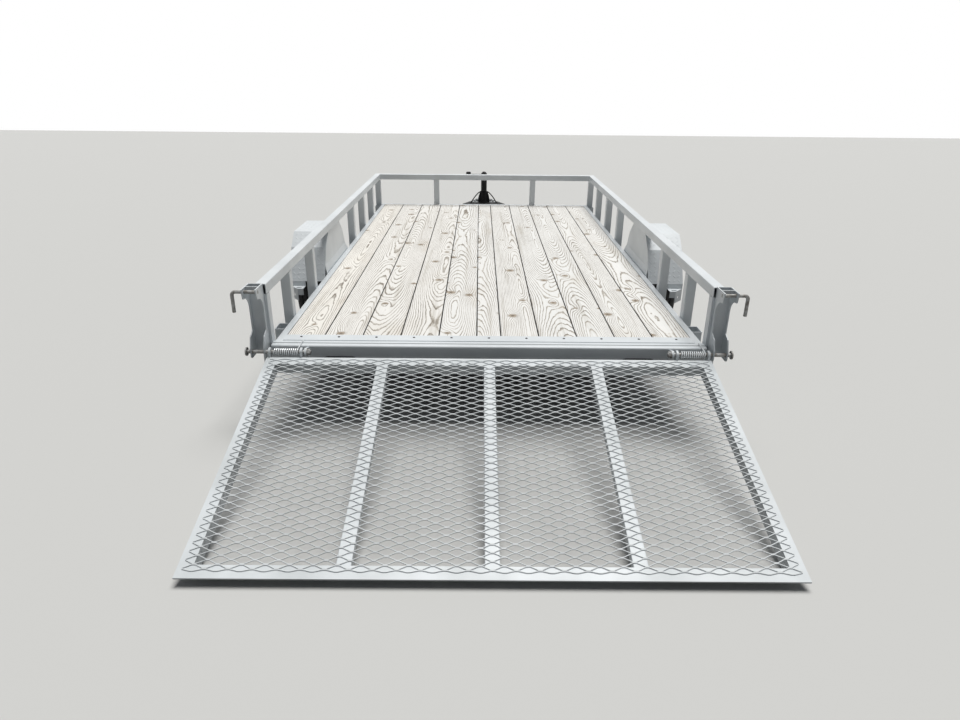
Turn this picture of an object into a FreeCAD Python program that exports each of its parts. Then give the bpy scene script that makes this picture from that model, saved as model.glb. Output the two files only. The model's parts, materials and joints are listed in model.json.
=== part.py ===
"""Single-axle utility trailer with a timber deck, rail sides and a mesh loading gate.

The trailer is drawn level: x to the right, y forward from the axle, z up from the ground.
It is then parked nose-up on its jack, with the gate lowered to the ground behind it.
"""
import FreeCAD, Part
import math
import os
from FreeCAD import Vector

os.makedirs("parts", exist_ok=True)

# Deck, millimetres
deck_width = 1956.0
deck_length = 3658.0
deck_height = 500.0
deck_overhang = 1510.0
board_thickness = 38.0
board_width = 181.0
board_gap = 3.0
board_edge_gap = 1.0
narrowest_rip = 30.0
retainer_width = 70.0
retainer_thickness = 3.0

# Frame and rails
frame_depth = 127.0
frame_wall = 4.8
frame_bend = 9.6
frame_lip = 38.0
frame_foot = 62.0
rear_member_depth = 60.0
floor_angle_leg = 50.0
floor_angle_wall = 5.0
floor_angle_count = 7
tube_size = 50.8
tube_wall = 3.0
tube_corner = 5.0
rail_over_fender = 7.2
front_upright_share = 0.48
uprights_from_rear = (374.4, 874.4)
uprights_from_front = (1447.6, 970.6, 477.6)
upright_foot_rise = 2.0

# Rear corner posts, with the gate's latch bolts
post_plate = 5.0
post_offset = 12.0
post_width = 67.0
post_depth = 25.0
post_above_rail = 3.0
post_box_reach = 78.0
post_box_height = 49.0
post_box_taper = 10.0
post_box_corner = 8.0
post_curve = 58.0
post_bar_setback = 25.0
post_bar_height = 14.0
# Ear that flares round the hinge: (behind the frame, above the deck, rounding)
post_ear = ((0.0, 74.0, 10.0), (40.0, 56.0, 12.0), (61.0, 4.0, 12.0), (61.0, -45.0, 14.0))
latch_radius = 8.0
latch_fit = 0.4
latch_from_rear = 28.0
latch_drop = 18.0
latch_arm = 50.0
latch_bend = 16.0
latch_grip = 95.0

# Gate hinge and the springs that help to lift the gate
hinge_behind = 45.0
hinge_drop = 15.0
hinge_rod_radius = 9.0
hinge_fit = 0.4
hinge_rod_beyond_post = 18.0
hinge_head_radius = 20.0
hinge_head_thickness = 6.0
hinge_washer_radius = 17.0
hinge_washer_thickness = 3.0
hinge_nut_radius = 15.0
hinge_nut_height = 12.0
hinge_lug_inset = 188.0
hinge_lug_thickness = 10.0
hinge_lug_reach = 18.0
hinge_lug_corner = 12.0
coil_count = 12
coil_radius = 18.0
coil_wire = 8.0
coil_from_lug = 36.0
coil_pitch = 9.9
coil_leg_length = 44.0
coil_leg_rest = 0.2

# Gate
gate_clearance = 8.0
gate_reach = 1185.0
gate_setback = 25.0
gate_top_drop = 13.0
gate_member = 50.8
gate_wall = 6.4
gate_rib_wall = 5.0
gate_rib_depth = 31.0
gate_ear_radius = 20.0
gate_ear_thickness = 10.0
gate_ear_from_lug = 18.0
gate_ear_from_edge = 17.0
mesh_long_pitch = 76.2
mesh_short_pitch = 34.0
mesh_strand = 6.0
mesh_thickness = 4.5
mesh_coarseness = 3.0
mesh_overlap = 38.0
mesh_end_overlap = 26.0

# Wheels and axle
tyre_radius = 344.0
tyre_width = 205.0
tread_width = 150.0
tyre_wall = 12.0
tyre_crown = 5.0
tyre_shoulder = 14.0
wheel_offset = 122.5
bead_radius = 190.5
rim_width = 152.4
rim_wall = 4.0
rim_flange = 17.0
rim_well = 22.0
rim_well_half = 26.0
rim_slope_half = 40.0
rim_fit = 0.3
disc_wall = 4.5
disc_hub_radius = 78.0
disc_dish = 22.0
window_count = 8
window_inner = 96.0
window_outer = 148.0
window_width = 42.0
window_corner = 8.0
hub_barrel_radius = 38.0
hub_flange_radius = 68.0
hub_flange = 10.0
hub_back = 60.0
hub_step = 20.0
hub_cap_radius = 27.0
hub_cap_length = 46.0
hub_cap_wall = 3.0
stud_radius = 7.0
lug_circle = 114.3
lug_count = 5
lug_nut_radius = 11.0
lug_nut_height = 22.0
spindle_radius = 20.0
spindle_fit = 0.3
spindle_end_gap = 12.0
axle_radius = 30.0
drop_arm_radius = 38.0
drop_arm_offset = 6.0
drop_arm_thickness = 30.0

# Leaf springs
spring_inset = 34.0
spring_width = 44.5
spring_half_length = 330.0
spring_camber = 55.0
spring_eye_drop = 25.0
leaf_thickness = 7.0
leaf_shares = (1.0, 0.78, 0.55, 0.32)
spring_seat_height = 8.0
spring_seat_length = 120.0
spring_eye_radius = 15.0
spring_eye_sink = 4.0
spring_bolt_radius = 7.0
spring_bolt_fit = 0.4
hanger_wall = 5.0
hanger_gap = 1.0
hanger_length = 84.0
hanger_foot = 44.0
hanger_below_eye = 6.0
bolt_stub = 8.0
clamp_rod_radius = 5.5
clamp_rod_offset = 9.0
clamp_spacing = 76.0
clamp_plate = 8.0
clamp_overhang = 16.0
clamp_stub = 14.0
clamp_fit = 0.3

# Fenders
fender_width = 233.0
# Rear half of the profile, mirrored to the front: (beyond the tread, above the tread's top)
fender_profile = ((31.0, -233.0), (-73.0, -40.0), (-168.0, 41.0))
fender_standoff = 12.0
fender_sheet = 2.5
fender_skirt = 30.0
fender_flange_rise = 45.0
fender_flange_seat = (5.0, -24.0)
# Lamp bracket behind the fender: a ledge with a slot, a rear wall and a slanted wall with a hole
bracket_width = 96.0
bracket_reach = 67.0
bracket_straight = 37.0
bracket_drop = 30.0
bracket_thickness = 4.0
bracket_rear_height = 41.0
bracket_side_height = 77.0
bracket_hole_radius = 10.0
bracket_hole_drop = 46.0
bracket_slot = (15.0, 49.0)
bracket_slot_inset = 18.0
bracket_slot_corner = 6.0

# Stake pockets
pocket_length = 85.0
pocket_width = 50.0
pocket_wall = 5.0
pocket_corner = 8.0
pocket_top_drop = 5.0
pocket_height = 80.0
pocket_from_rear = 165.0

# Tongue, coupler and jack
tongue_reach = 1252.0
tongue_half_angle = 25.0
tongue_tip_cut = 90.0
tongue_depth = 102.0
tongue_flange = 44.0
tongue_wall = 5.0
ball_from_apex = 8.0
ball_clear_radius = 26.0
socket_wall = 6.0
socket_depth = 24.0
coupler_plate = 6.0
coupler_leg_length = 310.0
coupler_nose = 34.0
latch_post_radius = 9.0
latch_post_height = 40.0
lever_length = 136.0
lever_depth = 13.0
lever_lift = 11.0
lever_half_width = 14.0
lever_corner = 4.0
jack_from_apex = 400.0
jack_radius = 31.5
jack_wall = 3.0
jack_fit = 0.5
jack_below = 143.0
jack_above = 282.0
jack_cap_height = 16.0
jack_cap_rim = 2.0
jack_collar = 12.0
jack_collar_height = 10.0
jack_engaged = 60.0
jack_foot_radius = 62.0
jack_foot_plate = 6.0
jack_foot_collar = 8.0
jack_foot_socket = 20.0
jack_mount_ahead = 62.0
jack_mount_behind = 112.0
jack_mount_plate = 8.0
crank_stem_radius = 9.0
crank_stem_height = 18.0
crank_arm = 170.0
crank_rod = 6.0
knob_radius = 26.0
knob_height = 34.0
knob_corner = 8.0

# Wiring lead, which arches over a hook on the jack's tube
lead_radius = 5.5
lead_half_span = 141.0
lead_rise = 134.0
lead_shares = (-1, -0.76, -0.42, -0.14, 0.14, 0.42, 0.76, 1)
lead_arc_share = 0.45
lead_fit = 0.3
lead_hook_half = 4.0
lead_hook_wall = 4.0
grommet_radius = 14.0
grommet_bore = 10.0
grommet_height = 4.0

# Lamps
tail_lamp_inset = 278.0
tail_lamp_rise = 40.0
tail_lamp_length = 165.0
tail_lamp_height = 57.0
tail_lamp_depth = 24.0
tail_lamp_proud = 4.0
lamp_fit = 0.5
marker_length = 62.0
marker_height = 24.0
marker_depth = 14.0
marker_corner = 5.0
marker_from_rear = 610.0
marker_from_front = 233.0

# Stance
park_pitch = 3.0

# Places that follow from the sizes above
deck_rear = -deck_overhang
deck_front = deck_rear + deck_length
half_deck = deck_width / 2
frame_outer = half_deck + frame_lip
frame_bottom = deck_height - frame_depth
frame_rear = deck_rear - rear_member_depth
frame_front = deck_front + tube_size
rail_rear = frame_rear + post_depth
rail_outer = frame_outer + tube_size
fender_top = 2 * tyre_radius + fender_profile[-1][1]
rail_top = fender_top + rail_over_fender + tube_size
rail_bottom = rail_top - tube_size
side_upright_y = tuple([deck_rear + y for y in uprights_from_rear]
                       + [deck_front - y for y in uprights_from_front])
front_upright_x = front_upright_share * half_deck
post_inner = frame_outer + post_offset
post_outer = post_inner + post_width
post_rear = frame_rear - post_box_reach
post_top = rail_top + post_above_rail
hinge_y = frame_rear - hinge_behind
hinge_z = deck_height - hinge_drop
hinge_lug_x = post_inner - hinge_lug_inset
gate_half_width = post_inner - gate_clearance
gate_ear_x = (hinge_lug_x + gate_ear_from_lug, gate_half_width - gate_ear_from_edge)
coil_start_x = hinge_lug_x + coil_from_lug
wheel_centre_x = frame_outer + wheel_offset
spring_x = frame_outer - spring_inset
fender_inner_x = frame_outer + fender_standoff
fender_outer_x = frame_outer + fender_width
pocket_rears = (deck_rear + pocket_from_rear, deck_front - pocket_length)
marker_y = (deck_rear + marker_from_rear, deck_front - marker_from_front)
tongue_apex_y = deck_front + tongue_reach
tongue_tip_y = tongue_apex_y - tongue_tip_cut
ball_y = tongue_apex_y - ball_from_apex
coupler_leg_y = tongue_apex_y - coupler_leg_length
jack_y = tongue_apex_y - jack_from_apex
jack_bottom = frame_bottom - jack_below
jack_top = frame_bottom + jack_above
lead_y = jack_y - jack_radius - lead_fit - lead_radius
lead_base = frame_bottom + jack_mount_plate
lead_crest = lead_base + lead_rise * (1 - min(share ** 2 for share in lead_shares))
frame_middle = (frame_bottom + deck_height) / 2
tail_lamp_z = frame_bottom + tail_lamp_rise
tail_lamp_x = half_deck - tail_lamp_inset
axle_height = tyre_radius

# The springs hang from the frame, and the axle's beam lies under them
spring_bend = (spring_half_length ** 2 + spring_camber ** 2) / (2 * spring_camber)
spring_spread = math.asin(spring_half_length / spring_bend)
spring_eye_z = frame_bottom - spring_eye_drop
spring_top = (spring_eye_z + spring_eye_sink - spring_eye_radius - spring_bend
              + (spring_bend + leaf_thickness / 2) * math.cos(spring_spread))
spring_seat_top = spring_top - leaf_thickness * len(leaf_shares)
beam_height = spring_seat_top - spring_seat_height - axle_radius
pitch = math.radians(park_pitch)
nodes = {}


def on_yz(u, v):
    """Point of an outline that is drawn on the y and z axes."""
    return Vector(0, u, v)


def on_xz(u, v):
    """Point of an outline that is drawn on the x and z axes."""
    return Vector(u, 0, v)


def on_xy(u, v):
    """Point of an outline that is drawn on the x and y axes."""
    return Vector(u, v, 0)


normals = {on_yz: Vector(1, 0, 0), on_xz: Vector(0, 1, 0), on_xy: Vector(0, 0, 1)}


def block(x, y, z):
    """Box between the low and high value of each axis."""
    return Part.makeBox(x[1] - x[0], y[1] - y[0], z[1] - z[0], Vector(x[0], y[0], z[0]))


def rod(start, end, radius):
    """Round bar from one point to another."""
    along = end.sub(start)
    return Part.makeCylinder(radius, along.Length, start, along)


def rounded_wire(corners, plane):
    """Closed wire through corners given as (u, v, radius), each rounded by its radius."""
    edges = []
    spots = [(plane(u, v), radius) for u, v, radius in corners]
    ends = []
    for i, (here, radius) in enumerate(spots):
        back = spots[i - 1][0].sub(here).normalize()
        ahead = spots[(i + 1) % len(spots)][0].sub(here).normalize()
        if radius == 0:
            ends.append((here, None, here))
            continue
        half = back.getAngle(ahead) / 2
        reach = radius / math.tan(half)
        middle = back.add(ahead).normalize()
        bow = here.add(middle.multiply(radius / math.sin(half) - radius))
        ends.append((here.add(back.multiply(reach)), bow, here.add(ahead.multiply(reach))))
    for i, (enter, bow, leave) in enumerate(ends):
        if bow is not None:
            edges.append(Part.Arc(enter, bow, leave).toShape())
        onward = ends[(i + 1) % len(ends)][0]
        if leave.distanceToPoint(onward) > 1e-6:
            edges.append(Part.makeLine(leave, onward))
    return Part.Wire(edges)


def circle_wire(u, v, radius, plane):
    """Round hole outline on a plane."""
    return Part.Wire(Part.makeCircle(radius, plane(u, v), normals[plane]))


def plate(corners, plane, low, high, holes=()):
    """Plate cut to an outline of (u, v, radius) corners, between two levels across its plane."""
    wires = [rounded_wire(corners, plane)] + list(holes)
    face = Part.makeFace(wires, "Part::FaceMakerBullseye")
    normal = normals[plane]
    face.translate(Vector(normal).multiply(low))
    return face.extrude(Vector(normal).multiply(high - low))


def channel_outline(outer, inner, lip, foot, low, high, wall, bend):
    """Corners of a formed channel: a web at u = outer, with flanges towards u = inner."""
    side = 1 if inner > outer else -1
    skin = outer + side * wall
    inside = bend - wall
    return [(outer + side * lip, high, 0), (outer, high, bend), (outer, low, bend),
            (outer + side * foot, low, 0), (outer + side * foot, low + wall, 0),
            (skin, low + wall, inside), (skin, high - wall, inside),
            (outer + side * lip, high - wall, 0)]


def square_tube(start, length, axis):
    """Hollow square tube with round corners, from its low corner along one axis."""
    side = tube_size
    hole = side - 2 * tube_wall
    inside = tube_corner - tube_wall
    outer = rounded_wire([(0, 0, tube_corner), (side, 0, tube_corner),
                          (side, side, tube_corner), (0, side, tube_corner)], on_xy)
    low = tube_wall
    high = tube_wall + hole
    bore = rounded_wire([(low, low, inside), (high, low, inside),
                         (high, high, inside), (low, high, inside)], on_xy)
    shape = Part.makeFace([outer, bore], "Part::FaceMakerBullseye").extrude(Vector(0, 0, length))
    if axis == "y":
        shape.rotate(Vector(0, 0, 0), Vector(1, 0, 0), -90)
        shape.translate(Vector(0, 0, side))
    if axis == "x":
        shape.rotate(Vector(0, 0, 0), Vector(0, 1, 0), 90)
        shape.translate(Vector(0, 0, side))
    shape.translate(start)
    return shape


def revolved(profile, centre, axis):
    """Solid of revolution of a closed (along, radius, rounding) profile about an axis."""
    wire = rounded_wire(profile, on_xz)
    shape = Part.makeFace([wire], "Part::FaceMakerBullseye").revolve(
        Vector(0, 0, 0), Vector(1, 0, 0), 360)
    if axis == "z":
        shape.rotate(Vector(0, 0, 0), Vector(0, 1, 0), -90)
    shape.translate(centre)
    return shape


def mirrored(shape):
    """The same piece on the other side of the trailer."""
    return shape.mirror(Vector(0, 0, 0), Vector(1, 0, 0))


def group(shapes):
    """Several solids of one node."""
    solids = [solid for shape in shapes for solid in shape.Solids]
    return Part.makeCompound(solids) if len(solids) > 1 else solids[0]


def joined(shapes):
    """One solid from pieces that are welded together."""
    shape = shapes[0].multiFuse(shapes[1:]).removeSplitter()
    return group([shape])


def park(shape):
    """Tip a level piece nose-up about the axle, onto the jack."""
    shape.rotate(Vector(0, 0, axle_height), Vector(1, 0, 0), park_pitch)
    return shape


def parked_point(y, z):
    """Where a level (y, z) point is once the trailer is parked."""
    rise = z - axle_height
    return (y * math.cos(pitch) - rise * math.sin(pitch),
            axle_height + y * math.sin(pitch) + rise * math.cos(pitch))


def ground_below(y):
    """Height of the ground in the level frame, below a level y."""
    return axle_height - (axle_height + y * math.sin(pitch)) / math.cos(pitch)


def add(name, *shapes):
    """Keep a node of the chassis or wheels, parked."""
    nodes[name] = park(group([shape.copy() for shape in shapes]))


def add_pair(name, shape):
    """Keep a right-hand piece and its mirror image, parked, as two nodes."""
    add("right_" + name, shape)
    add("left_" + name, mirrored(shape))


def add_both(name, shape):
    """Keep a right-hand piece and its mirror image, parked, in one node."""
    add(name, shape, mirrored(shape))


def inset(points, distance):
    """Open outline moved sideways, to the right of the way it runs."""
    sides = []
    for (u0, v0), (u1, v1) in zip(points, points[1:]):
        length = math.hypot(u1 - u0, v1 - v0)
        sides.append(((v1 - v0) / length, (u0 - u1) / length))
    moved = []
    for i, (u, v) in enumerate(points):
        before = sides[max(i - 1, 0)]
        after = sides[min(i, len(sides) - 1)]
        across = (before[0] + after[0], before[1] + after[1])
        reach = 2 * distance / (across[0] ** 2 + across[1] ** 2)
        moved.append((u + across[0] * reach, v + across[1] * reach))
    return moved


def deck():
    """Whole boards with one ripped narrow in the middle, and the strip over their rear ends."""
    room = deck_width - 2 * board_edge_gap
    whole = int((room - narrowest_rip) // (board_width + board_gap))
    ripped = room - whole * (board_width + board_gap)
    left = whole // 2
    widths = [board_width] * left + [ripped] + [board_width] * (whole - left)
    boards = []
    x = -half_deck + board_edge_gap
    for width in widths:
        boards.append(block((x, x + width), (deck_rear, deck_front),
                            (deck_height - board_thickness, deck_height)))
        x += width + board_gap
    add("deck_boards", *boards)
    reach = half_deck - board_edge_gap
    add("board_retainer", block((-reach, reach), (deck_rear, deck_rear + retainer_width),
                                (deck_height, deck_height + retainer_thickness)))


def lamp_outline(x, fit):
    """Outline of an oval tail lamp or of its hole in the rear member."""
    reach = tail_lamp_length / 2 - fit
    half = tail_lamp_height / 2 - fit
    corner = half - 1
    low = tail_lamp_z - half
    high = tail_lamp_z + half
    return [(x - reach, low, corner), (x + reach, low, corner), (x + reach, high, corner),
            (x - reach, high, corner)]


def frame():
    """Formed side rails, end members, and angles that carry the boards."""
    side = channel_outline(frame_outer, 0, frame_lip, frame_foot, frame_bottom, deck_height,
                           frame_wall, frame_bend)
    add_pair("side_frame", plate(side, on_xz, deck_rear, deck_front))
    rear = channel_outline(frame_rear, 0, rear_member_depth, rear_member_depth, frame_bottom,
                           deck_height, frame_wall, frame_bend)
    member = plate(rear, on_yz, -frame_outer, frame_outer)
    for x in (-tail_lamp_x, tail_lamp_x):
        member = member.cut(plate(lamp_outline(x, 0), on_xz, frame_rear - frame_wall,
                                  frame_rear + 2 * frame_wall))
    reach = hinge_lug_reach
    outline = [(frame_rear, deck_height - frame_bend, 0),
               (hinge_y, hinge_z + reach, hinge_lug_corner),
               (hinge_y - reach, hinge_z, hinge_lug_corner),
               (hinge_y, hinge_z - reach, hinge_lug_corner), (frame_rear, frame_middle, 0)]
    bore = circle_wire(hinge_y, hinge_z, hinge_rod_radius + hinge_fit, on_yz)
    lug = plate(outline, on_yz, hinge_lug_x, hinge_lug_x + hinge_lug_thickness, [bore])
    add("rear_crossmember", joined([member, lug, mirrored(lug)]))
    front = channel_outline(frame_front, 0, tube_size, tube_size, frame_bottom, deck_height,
                            frame_wall, frame_bend)
    add("front_crossmember", plate(front, on_yz, -frame_outer, frame_outer))
    inner = frame_outer - frame_wall
    top = deck_height - board_thickness
    leg = floor_angle_leg
    wall = floor_angle_wall
    step = (deck_length - leg) / (floor_angle_count - 1)
    angles = []
    for i in range(floor_angle_count):
        y = deck_rear + i * step
        outline = [(y, top, 0), (y + leg, top, 0), (y + leg, top - wall, 0),
                   (y + wall, top - wall, 0), (y + wall, top - leg, 0), (y, top - leg, 0)]
        angles.append(plate(outline, on_yz, -inner, inner))
    add("floor_crossmembers", *angles)


def rails():
    """Square-tube uprights outside the frame, and the top rail, mitred at its front corners."""
    half = tube_size / 2
    centres = (rail_rear + half,) + side_upright_y + (frame_front - half,)
    foot = frame_bottom + upright_foot_rise
    uprights = [square_tube(Vector(frame_outer, y - half, foot), rail_bottom - foot, "z")
                for y in centres]
    add_both("side_uprights", group(uprights))
    add("front_uprights", *[square_tube(Vector(x - half, deck_front, deck_height),
                                        rail_bottom - deck_height, "z")
                            for x in (-front_upright_x, front_upright_x)])
    side = square_tube(Vector(frame_outer, rail_rear, rail_bottom), frame_front - rail_rear, "y")
    mitre = plate([(frame_outer, deck_front, 0), (rail_outer, frame_front, 0),
                   (frame_outer, frame_front, 0)], on_xy, rail_bottom, rail_top)
    add_pair("top_rail", side.cut(mitre))
    front = square_tube(Vector(-rail_outer, deck_front, rail_bottom), 2 * rail_outer, "x")
    trim = plate([(frame_outer, deck_front, 0), (rail_outer, frame_front, 0),
                  (rail_outer, deck_front, 0)], on_xy, rail_bottom, rail_top)
    add("front_top_rail", front.cut(trim).cut(mirrored(trim)))


def gate_posts():
    """Two-plate corner posts with an open box on top, and the latch bolts that cross them."""
    box_bottom = post_top - post_box_height
    ear = [(frame_rear - behind, deck_height + rise, corner) for behind, rise, corner in post_ear]
    ear_bottom = ear[-1][1]
    bolt_y = post_rear + latch_from_rear
    bolt_z = post_top - latch_drop
    outline = [(rail_rear, ear_bottom, 0), (rail_rear, post_top, 0), (post_rear, post_top, 3),
               (post_rear + post_box_taper, box_bottom, post_box_corner),
               (frame_rear, box_bottom, post_curve)] + ear
    bores = [circle_wire(bolt_y, bolt_z, latch_radius + latch_fit, on_yz),
             circle_wire(hinge_y, hinge_z, hinge_rod_radius + hinge_fit, on_yz)]
    inner = plate(outline, on_yz, post_inner, post_inner + post_plate, bores)
    outer = plate(outline, on_yz, post_outer - post_plate, post_outer, bores)
    across = (post_inner, post_outer)
    web = block(across, (rail_rear - post_plate, rail_rear), (ear_bottom, post_top))
    bar_y = frame_rear - post_bar_setback
    bar = block(across, (bar_y - post_plate, bar_y), (post_top - post_bar_height, post_top))
    add_both("gate_posts", joined([inner, outer, web, bar]))
    outboard = post_outer + latch_arm
    turn_x = outboard - latch_bend
    turn_z = bolt_z - latch_bend
    ring = Part.makeCircle(latch_radius, Vector(turn_x, bolt_y, bolt_z), Vector(1, 0, 0))
    elbow = Part.Face(Part.Wire(ring)).revolve(Vector(turn_x, bolt_y, turn_z), Vector(0, 1, 0), 90)
    bolt = joined([rod(Vector(post_inner, bolt_y, bolt_z), Vector(turn_x, bolt_y, bolt_z),
                       latch_radius), elbow,
                   rod(Vector(outboard, bolt_y, turn_z),
                       Vector(outboard, bolt_y, bolt_z - latch_grip), latch_radius)])
    add_both("latch_bolts", bolt)


def hinge():
    """Hinge rods through the posts and lugs, and the coils wound round them."""
    head = post_outer + hinge_rod_beyond_post
    washer = hinge_lug_x - hinge_fit
    nut = washer - hinge_washer_thickness
    end = nut - hinge_nut_height

    def disc(low, high, radius):
        return rod(Vector(low, hinge_y, hinge_z), Vector(high, hinge_y, hinge_z), radius)

    flats = [(hinge_y + hinge_nut_radius * math.cos(math.radians(60 * k)),
              hinge_z + hinge_nut_radius * math.sin(math.radians(60 * k)), 0) for k in range(6)]
    pin = joined([disc(end - hinge_washer_thickness, head, hinge_rod_radius),
                  disc(head, head + hinge_head_thickness, hinge_head_radius),
                  disc(nut, washer, hinge_washer_radius), plate(flats, on_yz, end, nut)])
    add_both("hinge_rods", pin)
    groove = coil_radius - coil_wire / 2
    bore = hinge_rod_radius + hinge_fit
    profile = [(coil_start_x, bore, 0)]
    for turn in range(coil_count):
        x = coil_start_x + turn * coil_pitch
        profile.append((x, groove, 0))
        profile.append((x + coil_pitch / 2, coil_radius, 0))
    outer_end = coil_start_x + coil_count * coil_pitch
    profile.append((outer_end, groove, 0))
    profile.append((outer_end, bore, 0))
    coil = revolved(profile, Vector(0, hinge_y, hinge_z), "x")
    x = outer_end - coil_pitch / 2
    rest_z = deck_height + coil_wire / 2 + coil_leg_rest
    over = Vector(x, frame_rear + frame_bend, rest_z)
    leg = rod(Vector(x, hinge_y, hinge_z + groove), over, coil_wire / 2)
    toe = rod(over, Vector(x, over.y + coil_leg_length, rest_z), coil_wire / 2)
    spring = joined([coil, leg, Part.makeSphere(coil_wire / 2, over), toe])
    same_hand = spring.copy()
    same_hand.translate(Vector(-coil_start_x - outer_end, 0, 0))
    add("assist_springs", spring, same_hand)


def tyre_section():
    """Carcass outline of (along, radius, rounding) corners, the outer skin and then the inner."""
    half = tyre_width / 2
    bead = rim_width / 2
    tread = tread_width / 2
    flank = (bead_radius + tyre_radius) / 2
    shoulder = tyre_radius - tyre_shoulder
    skin = [(bead, bead_radius, 4), (bead, bead_radius + rim_flange + 4, 0), (half, flank, 30),
            (half - 8, shoulder - 22, 0), (tread, tyre_radius - tyre_crown, 8),
            (tread / 2, tyre_radius, 0)]
    lining = [(half - tyre_wall - 14, shoulder - 18, 0), (half - tyre_wall, flank, 0),
              (bead - 8, bead_radius + 24, 0), (bead - 16, bead_radius, 0)]
    outside = [(-u, v, r) for u, v, r in skin] + list(reversed(skin))
    inside = list(reversed(lining)) + [(-u, v, r) for u, v, r in lining]
    return outside + inside


def rim_section():
    """Barrel outline of (along, radius, rounding) corners, the tyre's side and then the inner."""
    seat = bead_radius - rim_fit
    lip = rim_width / 2 + rim_fit
    edge = lip + rim_wall + 6
    top = seat + rim_flange
    well = seat - rim_well
    wall = rim_wall
    outer = [(edge, top, 0), (lip + 1, top, 3), (lip, seat, 3), (rim_slope_half, seat - 2, 0),
             (rim_well_half, well, 0)]
    inner = [(rim_well_half + wall / 2, well - wall, 0), (rim_slope_half, seat - 2 - wall, 0),
             (lip + wall, seat - wall, 3), (lip + 5, top - wall, 3), (edge, top - wall, 0)]
    return ([(-u, v, r) for u, v, r in outer] + list(reversed(outer)) + list(reversed(inner))
            + [(-u, v, r) for u, v, r in inner])


def wheel(sign):
    """Tyre, spoked steel wheel and hub on one side, spinning about the x axis."""
    centre = Vector(sign * wheel_centre_x, 0, axle_height)
    side = "right" if sign > 0 else "left"
    add(side + "_tyre", revolved(tyre_section(), centre, "x"))
    rim = revolved(rim_section(), centre, "x")
    inner = bead_radius - rim_fit - rim_well - rim_wall + 1
    out = sign * disc_dish
    thick = sign * disc_wall
    root = sign * disc_dish / 3
    bore = hub_barrel_radius + 0.5
    disc = [(0, bore, 0), (0, disc_hub_radius, 4), (out, window_inner, 6),
            (out, window_outer, 6), (root, inner, 0), (root + thick, inner, 0),
            (out + thick, window_outer + 2, 6), (out + thick, window_inner - 2, 6),
            (thick, disc_hub_radius - 3, 4), (thick, bore, 0)]
    face = revolved(disc, centre, "x")
    near = centre.x - 2 * disc_dish
    far = centre.x + 2 * disc_dish
    narrow = window_width / 2 * window_inner / window_outer
    base = axle_height + window_inner
    peak = axle_height + window_outer
    cutters = []
    for i in range(window_count):
        window = plate([(-narrow, base, window_corner), (narrow, base, window_corner),
                        (window_width / 2, peak, window_corner),
                        (-window_width / 2, peak, window_corner)], on_yz, near, far)
        window.rotate(centre, Vector(1, 0, 0), i * 360 / window_count)
        cutters.append(window)
    angles = [math.radians(90 + i * 360 / lug_count) for i in range(lug_count)]
    studs = [(lug_circle / 2 * math.cos(a), axle_height + lug_circle / 2 * math.sin(a))
             for a in angles]
    cutters += [rod(Vector(near, y, z), Vector(far, y, z), stud_radius + 0.5) for y, z in studs]
    add(side + "_rim", joined([rim, face.cut(Part.makeCompound(cutters))]))
    flange = -sign * hub_flange
    back = -sign * hub_back
    front = sign * hub_cap_length
    boss = hub_barrel_radius + 6
    inside = spindle_radius + spindle_fit
    step = sign * hub_step
    cap = front - sign * hub_cap_wall
    hub = [(back, inside, 0), (back, boss, 0), (flange * 2, boss, 6),
           (flange, hub_flange_radius, 0), (0, hub_flange_radius, 0), (0, hub_barrel_radius, 0),
           (step, hub_barrel_radius, 4), (step, hub_cap_radius, 0),
           (front, hub_cap_radius, 8), (front, 0, 0), (cap, 0, 0), (cap, inside, 0)]
    pieces = [revolved(hub, centre, "x")]
    seat = centre.x + thick + sign * rim_fit
    ends = sorted((seat, seat + sign * lug_nut_height * 0.8))
    for y, z in studs:
        pieces.append(rod(Vector(centre.x - sign * hub_flange / 2, y, z),
                          Vector(seat + sign * lug_nut_height, y, z), stud_radius))
        corners = [(y + lug_nut_radius * math.cos(math.radians(60 * k)),
                    z + lug_nut_radius * math.sin(math.radians(60 * k)), 0) for k in range(6)]
        pieces.append(plate(corners, on_yz, ends[0], ends[1]))
    add(side + "_hub", joined(pieces))


def axle():
    """Drop axle: a tube under the springs, arms up to the spindles, and the spindles."""
    low = beam_height
    start = frame_outer + drop_arm_offset
    outer = start + drop_arm_thickness
    reach = drop_arm_radius
    corner = reach - 1
    tip = wheel_centre_x + hub_cap_length - spindle_end_gap
    beam = rod(Vector(-start, 0, low), Vector(start, 0, low), axle_radius)
    arm = plate([(-reach, low - reach, corner), (reach, low - reach, corner),
                 (reach, axle_height + reach, corner), (-reach, axle_height + reach, corner)],
                on_yz, start, outer)
    spindle = rod(Vector(outer, 0, axle_height), Vector(tip, 0, axle_height), spindle_radius)
    add("axle", joined([beam, arm, mirrored(arm), spindle, mirrored(spindle)]))


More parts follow.
